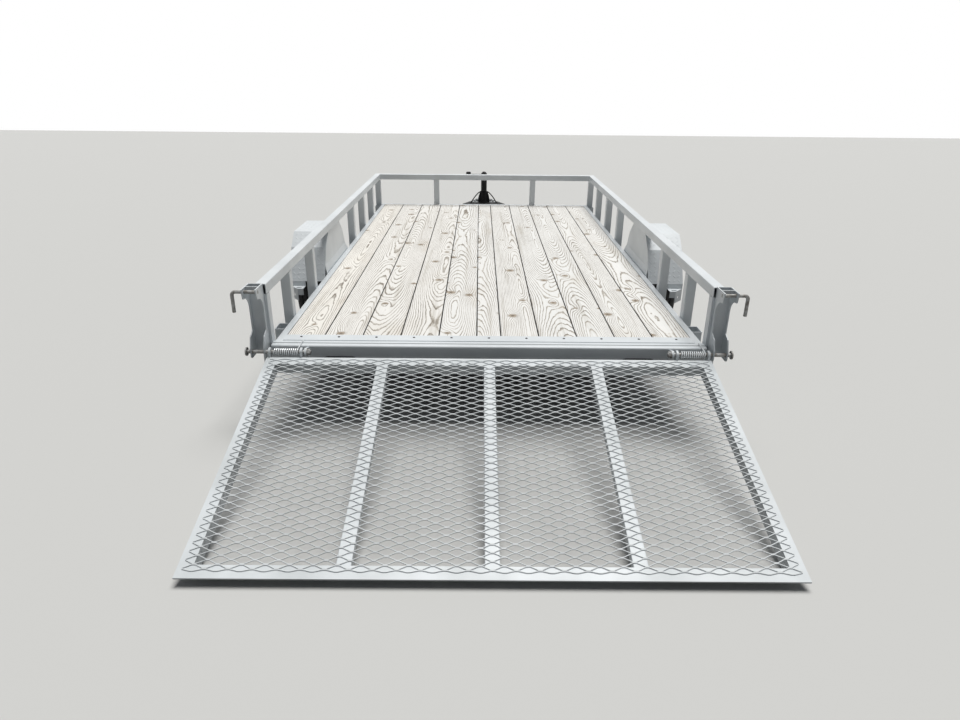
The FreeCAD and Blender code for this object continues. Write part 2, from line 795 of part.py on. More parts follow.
def leaf_springs():
    """Stacked leaves above the axle, their hangers, and the clamps round the axle."""
    centre_z = spring_top + spring_bend
    low_x = spring_x - spring_width / 2
    high_x = spring_x + spring_width / 2

    def at(radius, turn):
        return Vector(low_x, radius * math.sin(turn), centre_z - radius * math.cos(turn))

    leaves = []
    for i, share in enumerate(leaf_shares):
        angle = spring_spread * share
        near = spring_bend + i * leaf_thickness
        far = near + leaf_thickness
        wire = Part.Wire([Part.Arc(at(near, -angle), at(near, 0), at(near, angle)).toShape(),
                          Part.makeLine(at(near, angle), at(far, angle)),
                          Part.Arc(at(far, angle), at(far, 0), at(far, -angle)).toShape(),
                          Part.makeLine(at(far, -angle), at(near, -angle))])
        leaves.append(Part.Face(wire).extrude(Vector(spring_width, 0, 0)))
    eye_y = (spring_bend + leaf_thickness / 2) * math.sin(spring_spread)
    eyes = []
    bores = []
    hangers = []
    foot = spring_eye_z - spring_eye_radius - hanger_below_eye
    for y in (-eye_y, eye_y):
        def bar(low, high, radius):
            return rod(Vector(low, y, spring_eye_z), Vector(high, y, spring_eye_z), radius)

        eyes.append(bar(low_x, high_x, spring_eye_radius))
        bores.append(bar(low_x - 1, high_x + 1, spring_bolt_radius + spring_bolt_fit))
        outline = [(y - hanger_length / 2, frame_bottom, 0), (y - hanger_foot / 2, foot, 10),
                   (y + hanger_foot / 2, foot, 10), (y + hanger_length / 2, frame_bottom, 0)]
        inner = low_x - hanger_gap - hanger_wall
        outer = high_x + hanger_gap
        cheeks = [plate(outline, on_yz, x, x + hanger_wall) for x in (inner, outer)]
        bolt = bar(inner - bolt_stub, outer + hanger_wall + bolt_stub, spring_bolt_radius)
        hangers.append(joined(cheeks + [bolt]))
    spring = joined(leaves + eyes)
    for bore in bores:
        spring = spring.cut(bore)
    add_both("leaf_springs", spring)
    add_both("spring_hangers", group(hangers))
    length = (-spring_seat_length / 2, spring_seat_length / 2)
    seat = block((low_x, high_x), length, (beam_height, spring_seat_top))
    beam = rod(Vector(low_x - 1, 0, beam_height), Vector(high_x + 1, 0, beam_height),
               axle_radius + clamp_fit)
    below = block((low_x, high_x), length, (beam_height, beam_height + axle_radius / 2))
    add_both("spring_seats", seat.cut(beam).cut(below))
    wide = (low_x - clamp_overhang, high_x + clamp_overhang)
    sag = spring_bend - math.sqrt(spring_bend ** 2 - length[1] ** 2)
    cap_low = spring_top + sag + clamp_fit
    cap = block(wide, length, (cap_low, cap_low + clamp_plate))
    base_top = beam_height - axle_radius - clamp_fit
    base = block(wide, length, (base_top - clamp_plate, base_top))
    rods = [rod(Vector(x, y, base_top - clamp_plate - clamp_stub),
                Vector(x, y, cap_low + clamp_plate + clamp_stub), clamp_rod_radius)
            for x in (low_x - clamp_rod_offset, high_x + clamp_rod_offset)
            for y in (-clamp_spacing / 2, clamp_spacing / 2)]
    add_both("axle_clamps", joined([cap, base] + rods))


def fender():
    """Bent sheet fender with an inner plate flanged to the frame, an outer skirt and a bracket."""
    rear = [(-tyre_radius - run, 2 * tyre_radius + rise) for run, rise in fender_profile]
    profile = rear + [(-y, z) for y, z in reversed(rear)]
    closed = [(y, z, 0) for y, z in profile]

    def band(depth, low, high):
        inner = list(reversed(inset(profile, depth)))
        return plate([(y, z, 0) for y, z in profile + inner], on_yz, low, high)

    sheet = band(fender_sheet, fender_inner_x, fender_outer_x)
    skirt = band(fender_skirt, fender_outer_x - fender_sheet, fender_outer_x)
    wall = plate(closed, on_yz, fender_inner_x, fender_inner_x + fender_sheet)
    bend = deck_height + fender_flange_rise
    seat_high, seat_low = [deck_height + rise for rise in fender_flange_seat]
    skin = fender_sheet
    section = [(frame_outer, seat_low, 0), (frame_outer + skin, seat_low, 0),
               (frame_outer + skin, seat_high, 0), (fender_inner_x + skin, bend, 0),
               (fender_inner_x, bend, 0), (frame_outer, seat_high, 0)]
    flange = plate(section, on_xz, rear[0][0], -rear[0][0])
    shadow = plate([(rear[0][0], frame_bottom, 0)] + closed + [(-rear[0][0], frame_bottom, 0)],
                   on_yz, frame_outer, fender_outer_x)
    pieces = [sheet, skirt, wall, flange.common(shadow)]
    foot_y, foot_z = rear[0]
    left = fender_outer_x - bracket_width
    right = fender_outer_x
    thick = bracket_thickness
    top = foot_z - bracket_drop
    back = foot_y - bracket_reach
    knee = left + bracket_straight
    slot_start, slot_end = [left + across for across in bracket_slot]
    slot = rounded_wire([(slot_start, back + bracket_slot_inset, bracket_slot_corner),
                         (slot_end, back + bracket_slot_inset, bracket_slot_corner),
                         (slot_end, foot_y - 2 * bracket_slot_inset, bracket_slot_corner),
                         (slot_start, foot_y - 2 * bracket_slot_inset, bracket_slot_corner)], on_xy)
    ledge = plate([(left, back, 0), (knee, back, 0), (right, foot_y, 0), (right, foot_y + thick, 0),
                   (left, foot_y + thick, 0)], on_xy, top - thick, top, [slot])
    riser = block((left, right), (foot_y, foot_y + thick), (top - thick, foot_z))
    behind = block((left, knee), (back, back + thick), (top - bracket_rear_height, top))
    length = math.hypot(right - knee, foot_y - back)
    along = Vector(right - knee, foot_y - back, 0).multiply(1 / length)
    outward = Vector(along.y, -along.x, 0)
    slant = Part.makeBox(length, thick, bracket_side_height)
    hole = rod(Vector(length / 2, -1, bracket_side_height - bracket_hole_drop),
               Vector(length / 2, thick + 1, bracket_side_height - bracket_hole_drop),
               bracket_hole_radius)
    slant = slant.cut(hole)
    slant.rotate(Vector(0, 0, 0), Vector(0, 0, 1), math.degrees(math.atan2(along.y, along.x)))
    slant.translate(Vector(knee, back, top - bracket_side_height))
    add_pair("fender", joined(pieces + [ledge, riser, behind, slant]))
    middle = Vector(knee, back, 0).add(along.multiply(length / 2))
    return middle, outward, top - bracket_hole_drop


def stake_pockets():
    """Open-topped pockets on the side frame, ahead of the rear corner and at the front."""
    top = deck_height - pocket_top_drop
    outer = frame_outer + pocket_width
    inside = outer - pocket_wall
    corner = pocket_corner
    pockets = []
    for near in pocket_rears:
        end = near + pocket_length
        outline = [(frame_outer, near, 0), (outer, near, corner), (outer, end, corner),
                   (frame_outer, end, 0), (frame_outer, end - pocket_wall, 0),
                   (inside, end - pocket_wall, corner - pocket_wall),
                   (inside, near + pocket_wall, corner - pocket_wall),
                   (frame_outer, near + pocket_wall, 0)]
        pockets.append(plate(outline, on_xy, top - pocket_height, top))
    add_both("stake_pockets", group(pockets))


def tongue():
    """Channels that run from under the side frames to the coupler, as an A."""
    turn = math.tan(math.radians(tongue_half_angle))
    top = frame_bottom
    section = channel_outline(0, -1, tongue_flange, tongue_flange, top - tongue_depth, top,
                              tongue_wall, 2 * tongue_wall)
    length = frame_outer / math.sin(math.radians(tongue_half_angle))
    bar = plate(section, on_xz, 0, length)
    bar.translate(Vector(0, -length, 0))
    bar.rotate(Vector(0, 0, 0), Vector(0, 0, 1), tongue_half_angle)
    bar.translate(Vector(0, tongue_apex_y, 0))
    keep = block((0.5, frame_outer), (0, tongue_tip_y), (0, deck_height))
    start_y = tongue_apex_y - (frame_outer - tongue_wall) / turn
    keep = keep.cut(block((0, frame_outer), (0, start_y), (0, deck_height)))
    add_pair("tongue", bar.common(keep))


def coupler():
    """A-frame coupler plate with its ball socket, and the lever that locks it."""
    turn = math.tan(math.radians(tongue_half_angle))
    low = frame_bottom
    high = low + coupler_plate
    leg_outer = coupler_leg_length * turn
    leg_inner = leg_outer - tongue_flange - coupler_plate
    nose = ball_y + coupler_nose
    neck = ball_y - 1.3 * coupler_nose
    outline = [(-coupler_nose, nose, 20), (coupler_nose, nose, 20),
               (coupler_nose + coupler_plate, neck, 8), (leg_outer, coupler_leg_y, 0),
               (leg_inner, coupler_leg_y, 0), (0, coupler_leg_y + leg_inner / turn, 12),
               (-leg_inner, coupler_leg_y, 0), (-leg_outer, coupler_leg_y, 0),
               (-coupler_nose - coupler_plate, neck, 8)]
    top_plate = plate(outline, on_xy, low, high)
    centre = Vector(0, ball_y, low)
    outer = ball_clear_radius + socket_wall
    below = block((-outer, outer), (ball_y - outer, ball_y + outer), (low - outer - 1, low))
    dome = Part.makeSphere(outer, centre).cut(below)
    collar = rod(Vector(0, ball_y, low - socket_depth), centre, outer)
    mouth = rod(Vector(0, ball_y, low - socket_depth - 1), centre, ball_clear_radius)
    hollow = Part.makeSphere(ball_clear_radius, centre).fuse(mouth)
    add("coupler", joined([top_plate, dome, collar]).cut(hollow))
    latch_y = ball_y - outer - 1.5 * latch_post_radius
    lift = high + latch_post_height
    post = rod(Vector(0, latch_y, high), Vector(0, latch_y, lift), latch_post_radius)
    nose_y = latch_y + lever_half_width
    grip_y = nose_y - lever_length
    floor = lift - lever_depth / 2
    corner = lever_corner
    lever = plate([(nose_y, floor, corner), (nose_y, floor + lever_depth, corner),
                   (grip_y, floor + lever_depth + lever_lift, corner),
                   (grip_y, floor + lever_lift, corner)], on_yz, -lever_half_width,
                  lever_half_width)
    add("coupler_latch", joined([post, lever]))


def jack():
    """Top-wind jack on a plate across the tongue: tube, crank, sliding leg and foot."""
    turn = math.tan(math.radians(tongue_half_angle))
    back = jack_y - jack_mount_behind
    front = jack_y + jack_mount_ahead
    wide = (tongue_apex_y - back) * turn - 2
    slim = (tongue_apex_y - front) * turn - 2

    def level(low, high, radius):
        return rod(Vector(0, jack_y, low), Vector(0, jack_y, high), radius)

    low = frame_bottom
    high = low + jack_mount_plate
    bore = circle_wire(0, jack_y, jack_radius + 0.3, on_xy)
    add("jack_mount", plate([(-wide, back, 6), (wide, back, 6), (slim, front, 6),
                             (-slim, front, 6)], on_xy, low, high, [bore]))
    inside = jack_radius - jack_wall
    body = level(jack_bottom, jack_top, jack_radius)
    collar = level(high, high + jack_collar_height, jack_radius + jack_collar)
    crown = jack_top + jack_cap_height
    cap = level(jack_top, crown, jack_radius + jack_cap_rim)
    saddle = lead_crest - lead_radius - lead_fit
    lip_y = lead_y - lead_radius - lead_fit
    across = (-lead_hook_half, lead_hook_half)
    hook = [block(across, (lip_y - lead_hook_wall, jack_y), (saddle - lead_hook_wall, saddle)),
            block(across, (lip_y - lead_hook_wall, lip_y), (saddle, lead_crest))]
    shell = body.multiFuse([collar] + hook).cut(level(jack_bottom, jack_top, inside))
    add("jack_tube", joined([shell, cap]))
    stem = level(crown, crown + crank_stem_height, crank_stem_radius)
    arm_z = crown + crank_stem_height - crank_stem_radius
    arm = rod(Vector(0, jack_y, arm_z), Vector(-crank_arm, jack_y, arm_z), crank_rod)
    knob = revolved([(0, 0, 0), (0, knob_radius, knob_corner),
                     (knob_height, knob_radius, knob_corner), (knob_height, 0, 0)],
                    Vector(-crank_arm, jack_y, arm_z - crank_rod), "z")
    add("jack_crank", joined([stem, arm, knob]))
    leg_radius = inside - jack_fit
    ground = ground_below(jack_y)
    foot_y, foot_z = parked_point(jack_y, ground)
    leg_low = ground + jack_foot_plate + 6
    add("jack_leg_tube", level(leg_low, jack_bottom + jack_engaged, leg_radius)
        .cut(level(leg_low, jack_bottom + jack_engaged, leg_radius - jack_wall)))
    foot = revolved([(0, 0, 0), (0, jack_foot_radius, 0), (jack_foot_plate, jack_foot_radius, 2),
                     (jack_foot_plate, 0, 0)], Vector(0, foot_y, foot_z), "z")
    socket = level(ground, leg_low + jack_foot_socket, leg_radius - jack_wall - 0.3)
    ring = level(ground, leg_low, leg_radius + jack_foot_collar)
    wide = 2 * jack_foot_radius
    under = block((-wide, wide), (foot_y - wide, foot_y + wide), (-wide, 0))
    nodes["jack_foot"] = joined([foot, park(socket.fuse(ring)).cut(under)])


def route(points):
    """Open path of straight runs joined by arcs, each as large as its two runs allow."""
    edges = []
    here = points[0]
    for before, corner, after in zip(points, points[1:], points[2:]):
        back = before.sub(corner)
        ahead = after.sub(corner)
        reach = lead_arc_share * min(back.Length, ahead.Length)
        half = back.getAngle(ahead) / 2
        radius = reach * math.tan(half)
        back.normalize()
        ahead.normalize()
        inward = back.add(ahead).normalize()
        enter = corner.add(back.multiply(reach))
        leave = corner.add(ahead.multiply(reach))
        bow = corner.add(inward.multiply(radius / math.sin(half) - radius))
        edges += [Part.makeLine(here, enter), Part.Arc(enter, bow, leave).toShape()]
        here = leave
        print("lead arc radius", round(radius, 1))
    edges.append(Part.makeLine(here, points[-1]))
    return Part.Wire(edges)


def lead():
    """Wiring lead that arches over the jack's hook, from one grommet to the other."""
    points = [Vector(share * lead_half_span, lead_y, lead_base + lead_rise * (1 - share ** 2))
              for share in lead_shares]
    for end, neighbour in ((0, 1), (-1, -2)):
        outward = points[end].sub(points[neighbour]).normalize()
        points[end] = points[end].add(outward.multiply(2 * lead_radius))
    ring = Part.Wire(Part.makeCircle(lead_radius, points[0], points[1].sub(points[0])))
    tube = route(points).makePipeShell([ring], True, True)
    wide = lead_half_span + grommet_radius
    below = block((-wide, wide), (lead_y - grommet_radius, lead_y + grommet_radius),
                  (lead_base - 4 * lead_radius, lead_base))
    add("wiring_lead", tube.cut(below))
    foot = Vector(lead_half_span, lead_y, lead_base)
    top = foot.add(Vector(0, 0, grommet_height))
    grommet = rod(foot, top, grommet_radius).cut(rod(foot, top, grommet_bore))
    add_both("lead_grommets", grommet)


def lamps():
    """Oval tail lamps in the rear member, and side markers on the frame."""
    low = frame_rear - tail_lamp_proud
    add_both("tail_lamps", plate(lamp_outline(tail_lamp_x, lamp_fit), on_xz, low,
                                 low + tail_lamp_depth))
    half = marker_length / 2
    rise = marker_height / 2
    for name, y in zip(("rear_markers", "front_markers"), marker_y):
        low = frame_middle - rise
        high = frame_middle + rise
        outline = [(y - half, low, marker_corner), (y + half, low, marker_corner),
                   (y + half, high, marker_corner), (y - half, high, marker_corner)]
        add_both(name, plate(outline, on_yz, frame_outer, frame_outer + marker_depth))


def gate_mesh(near, far, top):
    """Expanded metal as one flat sheet with staggered diamond holes."""
    strand = mesh_strand * mesh_coarseness / 2
    half_x = gate_half_width - gate_member + mesh_overlap
    mesh_near = near - gate_member + mesh_overlap
    mesh_far = far + gate_member - mesh_end_overlap
    half_y = (mesh_near - mesh_far) / 2
    middle = (mesh_near + mesh_far) / 2
    columns = int(2 * half_x / (mesh_long_pitch * mesh_coarseness))
    rows = int(2 * half_y / (mesh_short_pitch * mesh_coarseness))
    long_pitch = (2 * half_x - strand) / columns
    short_pitch = (2 * half_y - strand) / rows
    reach_x = long_pitch / 2 - strand
    reach_y = short_pitch / 2 - strand / 2
    holes = []
    for row in range(2 * rows - 1):
        y = middle - half_y + strand / 2 + (row + 1) * short_pitch / 2
        shift = row % 2
        for column in range(columns - shift):
            x = -half_x + strand / 2 + (column + 0.5 + shift / 2) * long_pitch
            holes.append(rounded_wire([(x - reach_x, y, 0), (x, y - reach_y, 0),
                                       (x + reach_x, y, 0), (x, y + reach_y, 0)], on_xy))
    return plate([(-half_x, mesh_far, 0), (half_x, mesh_far, 0), (half_x, mesh_near, 0),
                  (-half_x, mesh_near, 0)], on_xy, top, top + mesh_thickness, holes)


def gate():
    """Angle-frame gate with three ribs and an expanded-metal face, lowered to the ground.

    Drawn with its hinge axis at the origin and its face up, reaching back along -y. The angles'
    hanging legs are on their inner edges.
    """
    top = -gate_top_drop
    low = top - gate_member
    near = -gate_setback
    far = -gate_reach
    wall = gate_wall

    def border(inward):
        x = gate_half_width - inward
        return [(-x, far + inward, 0), (x, far + inward, 0), (x, near - inward, 0),
                (-x, near - inward, 0)]

    hole = [rounded_wire(border(gate_member), on_xy)]
    pieces = [plate(border(0), on_xy, top - wall, top, hole),
              plate(border(gate_member - wall), on_xy, low, top, hole)]
    reach = gate_ear_radius
    heel = near - gate_member + wall
    for x in gate_ear_x:
        bore = circle_wire(0, 0, hinge_rod_radius + hinge_fit, on_yz)
        outline = [(reach, reach, reach - 1), (reach, -reach, reach - 1), (heel, low, 0),
                   (heel, top - wall, 0), (near, top - wall, 0), (near, top, 0),
                   (-reach, reach, reach - 4)]
        ear = plate(outline, on_yz, x, x + gate_ear_thickness, [bore])
        pieces += [ear, mirrored(ear)]
    shapes = {"gate_frame": joined(pieces), "gate_mesh": gate_mesh(near, far, top)}
    ribs = []
    half = gate_member / 2
    wall = gate_rib_wall
    bottom = top - gate_rib_depth
    span = 2 * (gate_half_width - gate_member)
    for k in (-1, 0, 1):
        x = k * span / 4
        outline = [(x - half, bottom, 0), (x - half, top, 3), (x + half, top, 3),
                   (x + half, bottom, 0), (x + half - wall, bottom, 0),
                   (x + half - wall, top - wall, 0), (x - half + wall, top - wall, 0),
                   (x - half + wall, bottom, 0)]
        ribs.append(plate(outline, on_xz, far + gate_member, near - gate_member))
    shapes["gate_ribs"] = group(ribs)
    axis_y, axis_z = parked_point(hinge_y, hinge_z)
    drop = gate_top_drop + gate_member
    heel = gate_reach - gate_member + gate_wall
    slope = math.asin(axis_z / math.hypot(heel, drop)) - math.atan2(drop, heel)
    for name, shape in shapes.items():
        shape.rotate(Vector(0, 0, 0), Vector(1, 0, 0), math.degrees(slope))
        shape.translate(Vector(0, axis_y, axis_z))
        nodes[name] = shape
    return math.degrees(slope)


def build():
    """Make every node, centre the trailer on the origin and write the files."""
    deck()
    frame()
    rails()
    gate_posts()
    hinge()
    for sign in (-1, 1):
        wheel(sign)
    axle()
    leaf_springs()
    bracket = fender()
    stake_pockets()
    tongue()
    coupler()
    jack()
    lead()
    lamps()
    slope = gate()
    low = min(shape.optimalBoundingBox().YMin for shape in nodes.values())
    high = max(shape.optimalBoundingBox().YMax for shape in nodes.values())
    centring = -(low + high) / 2
    for name, shape in nodes.items():
        shape.translate(Vector(0, centring, 0))
        shape.exportStep(os.path.join("parts", name + ".step"))
    return centring, slope, bracket


centring, gate_slope, bracket_hole = build()
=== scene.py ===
"""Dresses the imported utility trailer: materials, small parts, floor, light and camera."""
import json
import math
import bpy
import numpy as np
from mathutils import Matrix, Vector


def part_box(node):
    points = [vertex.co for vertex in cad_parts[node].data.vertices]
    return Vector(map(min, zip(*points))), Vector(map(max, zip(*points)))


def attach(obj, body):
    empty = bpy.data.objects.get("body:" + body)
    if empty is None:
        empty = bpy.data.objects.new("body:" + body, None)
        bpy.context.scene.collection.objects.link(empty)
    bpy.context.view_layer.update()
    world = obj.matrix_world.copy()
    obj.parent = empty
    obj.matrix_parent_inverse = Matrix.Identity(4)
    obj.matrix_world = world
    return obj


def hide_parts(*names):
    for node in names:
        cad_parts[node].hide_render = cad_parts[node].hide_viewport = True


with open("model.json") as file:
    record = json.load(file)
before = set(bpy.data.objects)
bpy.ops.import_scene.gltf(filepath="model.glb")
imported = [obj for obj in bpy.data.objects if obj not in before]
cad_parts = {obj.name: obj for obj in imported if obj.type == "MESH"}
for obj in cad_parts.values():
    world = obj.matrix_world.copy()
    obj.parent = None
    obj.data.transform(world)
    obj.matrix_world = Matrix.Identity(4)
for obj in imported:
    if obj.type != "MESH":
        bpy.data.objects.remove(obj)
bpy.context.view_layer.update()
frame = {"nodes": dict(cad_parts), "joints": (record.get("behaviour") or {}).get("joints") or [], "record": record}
nodes = frame["nodes"]
scene = bpy.context.scene

# Sizes of the part in metres, in its level frame: x right, y forward from the axle, z up
PITCH = math.radians(3.0)
DECK = 0.500
DECK_REAR, DECK_FRONT = -1.510, 2.148
HALF_DECK = 0.978
BOARD, NARROW_BOARD, BOARD_THICK = 0.181, 0.114, 0.038
BOARD_GAP, BOARD_EDGE_GAP = 0.003, 0.001
STRIP_THICK, STRIP_END = 0.003, DECK_REAR - 0.030
FRAME_OUTER = 1.016
FRAME_REAR, FRAME_FRONT = -1.570, 2.1988
FRAME_BOTTOM = 0.373
TUBE = 0.0508
RAIL_BOTTOM, RAIL_TOP = 0.7362, 0.787
RAIL_REAR = -1.545
POST_INNER, POST_BOTTOM = 1.028, 0.470
HINGE_Y, HINGE_Z = -1.615, 0.485
MEMBER_BEND = 0.0096
COIL_START, COIL_END = 0.876, 0.9948
APEX_Y = 3.400
JACK_Y = 3.000
GATE_REACH, GATE_DROP, GATE_MEMBER = 1.185, 0.013, 0.0508
GATE_HALF, GATE_WALL, GATE_SETBACK = 1.020, 0.0064, 0.025
MESH_LAP, MESH_END_LAP = 0.038, 0.026
WHEEL_X = 1.1385
FENDER_INNER, FENDER_OUTER = 1.028, 1.249
FENDER_REAR = ((-0.375, 0.455), (-0.271, 0.648), (-0.176, 0.729))
MOUNT_TOP, JACK_TOP = 0.381, 0.655
COUPLER_TOP = FRAME_BOTTOM + 0.006
LAMP_X, LAMP_Z = 0.700, 0.413
LAMP_REACH, LAMP_HALF = 0.0825, 0.0285
SPRING_LOW_X, SPRING_HIGH_X = 0.95975, 1.00425
EYE_Y, EYE_Z = 0.3311, 0.348
CLAMP_Y, CLAMP_LOW, CLAMP_HIGH = 0.038, 0.1810, 0.2954
# The side uprights between the ends, from the boards' rear and front ends
UPRIGHTS_FROM_REAR = (0.3744, 0.8744)
UPRIGHTS_FROM_FRONT = (1.4476, 0.9706, 0.4776)
FRONT_UPRIGHT = 0.48 * HALF_DECK

tyre_low, tyre_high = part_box("right_tyre")
AXLE_Y = (tyre_low.y + tyre_high.y) / 2
AXLE_Z = (tyre_low.z + tyre_high.z) / 2
hinge = next(j for j in frame["joints"] if j["name"] == "gate_hinge")["pos_m"]


def parked(points):
    """Level points tipped nose-up about the axle, as rows of x, y, z."""
    p = np.asarray(points, float).reshape(-1, 3)
    y, z = p[:, 1], p[:, 2] - AXLE_Z
    c, s = math.cos(PITCH), math.sin(PITCH)
    return np.stack([p[:, 0], AXLE_Y + y * c - z * s, AXLE_Z + y * s + z * c], 1)


def on_gate(points):
    """Points of the gate's own frame, hinge at the origin, reach along -y, laid on the ground."""
    p = np.asarray(points, float).reshape(-1, 3)
    drop = GATE_DROP + GATE_MEMBER
    heel = GATE_REACH - GATE_MEMBER + GATE_WALL
    turn = math.asin(hinge[2] / math.hypot(heel, drop)) - math.atan2(drop, heel)
    c, s = math.cos(turn), math.sin(turn)
    return np.stack([p[:, 0], hinge[1] + p[:, 1] * c - p[:, 2] * s,
                     hinge[2] + p[:, 1] * s + p[:, 2] * c], 1)


# Camera
def photo_camera():
    """Camera at the photograph's place: 1.42 m above the ground, 4.47 m behind the axle.

    The rows give x, y and z of the camera's right, up and back, as the columns of its turn.
    """
    place = (-0.053, AXLE_Y - 4.4653, 1.4168)
    rows = ((0.999965, -0.007629, -0.003368), (-0.000519, 0.346133, -0.938185),
            (0.008323, 0.938154, 0.346117))
    data = bpy.data.cameras.new("photo_camera")
    data.sensor_width = 36.0
    data.lens = 24.5925
    data.clip_start, data.clip_end = 0.05, 200.0
    camera = bpy.data.objects.new("photo_camera", data)
    camera.matrix_world = Matrix.Translation(place) @ Matrix(rows).to_4x4()
    scene.collection.objects.link(camera)
    scene.camera = camera


photo_camera()


# Materials
def linear(text):
    """Linear red, green, blue and alpha of an sRGB hex colour."""
    v = np.array([int(text[i:i + 2], 16) for i in (1, 3, 5)]) / 255
    v = np.where(v <= 0.04045, v / 12.92, ((v + 0.055) / 1.055) ** 2.4)
    return (*v.tolist(), 1.0)


def add(tree, kind, inputs=None, stops=(), **settings):
    """Adds one shader node and returns its outputs.

    inputs gives its sockets, by name or place, a value or another node's output. settings are
    its properties. stops are a colour ramp's places, each with a hex colour or a grey level.
    """
    made = tree.nodes.new("ShaderNode" + kind)
    for key, value in settings.items():
        setattr(made, key, value)
    for key, value in (inputs or {}).items():
        if isinstance(value, bpy.types.NodeSocket):
            tree.links.new(value, made.inputs[key])
        else:
            made.inputs[key].default_value = value
    for _ in stops[2:]:
        made.color_ramp.elements.new(1.0)
    for number, (place, colour) in enumerate(stops):
        element = made.color_ramp.elements[number]
        element.position = place
        element.color = linear(colour) if isinstance(colour, str) else (colour,) * 3 + (1.0,)
    return made.outputs


def material(name, **constants):
    """Principled material with its constant sockets set; returns it, its tree and its shader."""
    made = bpy.data.materials.new(name)
    made.use_nodes = True
    shader = made.node_tree.nodes["Principled BSDF"]
    for key, value in constants.items():
        shader.inputs[key.replace("_", " ")].default_value = value
    return made, made.node_tree, shader


def feed(shader, **sources):
    """Links sockets of a shader to what feeds them."""
    for key, source in sources.items():
        shader.id_data.links.new(source, shader.inputs[key.replace("_", " ")])


def coated(name, light, dark, rough, grit=0.004, metallic=0.0, coat=0.0, patch=0.35, gloss=0.5):
    """Painted, plated or moulded surface: two shades in soft patches, and a fine skin.

    patch is the size of the patches and grit the size of the skin's grains, both in metres. Grains
    of 2 and 4 mm are coarser than real ones, so that they show.
    """
    made, tree, shader = material(name, Metallic=metallic, Coat_Weight=coat, Coat_Roughness=0.2,
                                  Specular_IOR_Level=gloss)
    place = add(tree, "TexCoord")["Object"]
    wide = add(tree, "TexNoise", {"Vector": place, "Scale": 1 / patch, "Detail": 5.0})["Fac"]
    fine = add(tree, "TexNoise", {"Vector": place, "Scale": 1 / grit, "Detail": 2.0})["Fac"]
    shade = add(tree, "ValToRGB", {0: wide}, ((0.35, dark), (0.62, light)))["Color"]
    dull = add(tree, "ValToRGB", {0: wide}, ((0.3, rough + 0.08), (0.7, rough - 0.06)))["Color"]
    skin = add(tree, "Bump", {"Height": fine, "Strength": 0.35, "Distance": 0.0004})["Normal"]
    feed(shader, Base_Color=shade, Roughness=dull, Normal=skin)
    return made


def pine_noises(tree, grain):
    """Noises drawn out along the grain, by name.

    Each row gives the cells in a metre across the board and along it, the detail and the
    roughness. 330 cells across are fibres 3 mm apart, coarser than real ones so that they show.
    """
    table = {"wander": (0.2, 0.55, 0.3, 0.5), "ripple": (19.0, 5.0, 4.0, 0.62),
             "torn": (90.0, 60.0, 3.0, 0.7), "broken": (70.0, 9.0, 2.0, 0.6),
             "strong": (9.0, 1.6, 3.0, 0.6), "fibre": (330.0, 7.0, 3.0, 0.7),
             "stain": (3.4, 1.7, 3.0, 0.5), "streak": (26.0, 0.8, 3.0, 0.6),
             "split": (150.0, 1.4, 2.0, 0.6)}
    made = {}
    for name, (across, along, detail, rough) in table.items():
        place = add(tree, "Mapping", {"Vector": grain, "Scale": (across, along, 0.0)})["Vector"]
        made[name] = add(tree, "TexNoise", {"Vector": place, "Scale": 1.0, "Detail": detail,
                                            "Roughness": rough})["Fac"]
    return made


def pine_knots(tree, grain, torn):
    """Knots of the boards: where they are, how near a point is to one, and how they bend the rings.

    A knot is round and sits at the middle of some cells of a jittered net. Its nearness is the
    distance over its radius of 10 to 26 mm, with its outline torn by a fine noise. Its bulge is e
    to the power -(x squared + y squared), with x and y counted in the bulge's half widths.
    """
    net_across, net_along = 6.0, 2.4
    share_without = 0.42
    least, spread = 0.010, 0.016
    bulge_across, bulge_along = 0.034, 0.085
    tear = 1.1
    place = add(tree, "Mapping", {"Vector": grain, "Scale": (net_across, net_along, 0.0)})["Vector"]
    cells = add(tree, "TexVoronoi", {"Vector": place, "Scale": 1.0, "Randomness": 1.0},
                voronoi_dimensions="2D")
    centre = add(tree, "VectorMath", {0: cells["Position"], 1: (net_across, net_along, 1.0)},
                 operation="DIVIDE")[0]
    off = add(tree, "VectorMath", {0: grain, 1: centre}, operation="SUBTRACT")[0]
    pick = add(tree, "SeparateColor", {0: cells["Color"]})
    here = add(tree, "Math", {0: pick[0], 1: share_without}, operation="GREATER_THAN")[0]
    size = add(tree, "Math", {0: pick[1], 1: spread, 2: least}, operation="MULTIPLY_ADD")[0]
    level = add(tree, "VectorMath", {0: off, 1: (1.0, 1.0, 0.0)}, operation="MULTIPLY")[0]
    reach = add(tree, "VectorMath", {0: level}, operation="LENGTH")["Value"]
    near = add(tree, "Math", {0: reach, 1: size}, operation="DIVIDE")[0]
    near = add(tree, "Math", {0: torn, 1: tear, 2: near}, operation="MULTIPLY_ADD")[0]
    near = add(tree, "Math", {0: near, 1: tear / 2}, operation="SUBTRACT")[0]
    span = add(tree, "VectorMath", {0: off, 1: (1 / bulge_across, 1 / bulge_along, 0.0)},
               operation="MULTIPLY")[0]
    square = add(tree, "VectorMath", {0: span, 1: span}, operation="DOT_PRODUCT")["Value"]
    bulge = add(tree, "Math", {0: math.exp(-1), 1: square}, operation="POWER")[0]
    bulge = add(tree, "Math", {0: bulge, 1: here}, operation="MULTIPLY")[0]
    return here, near, bulge


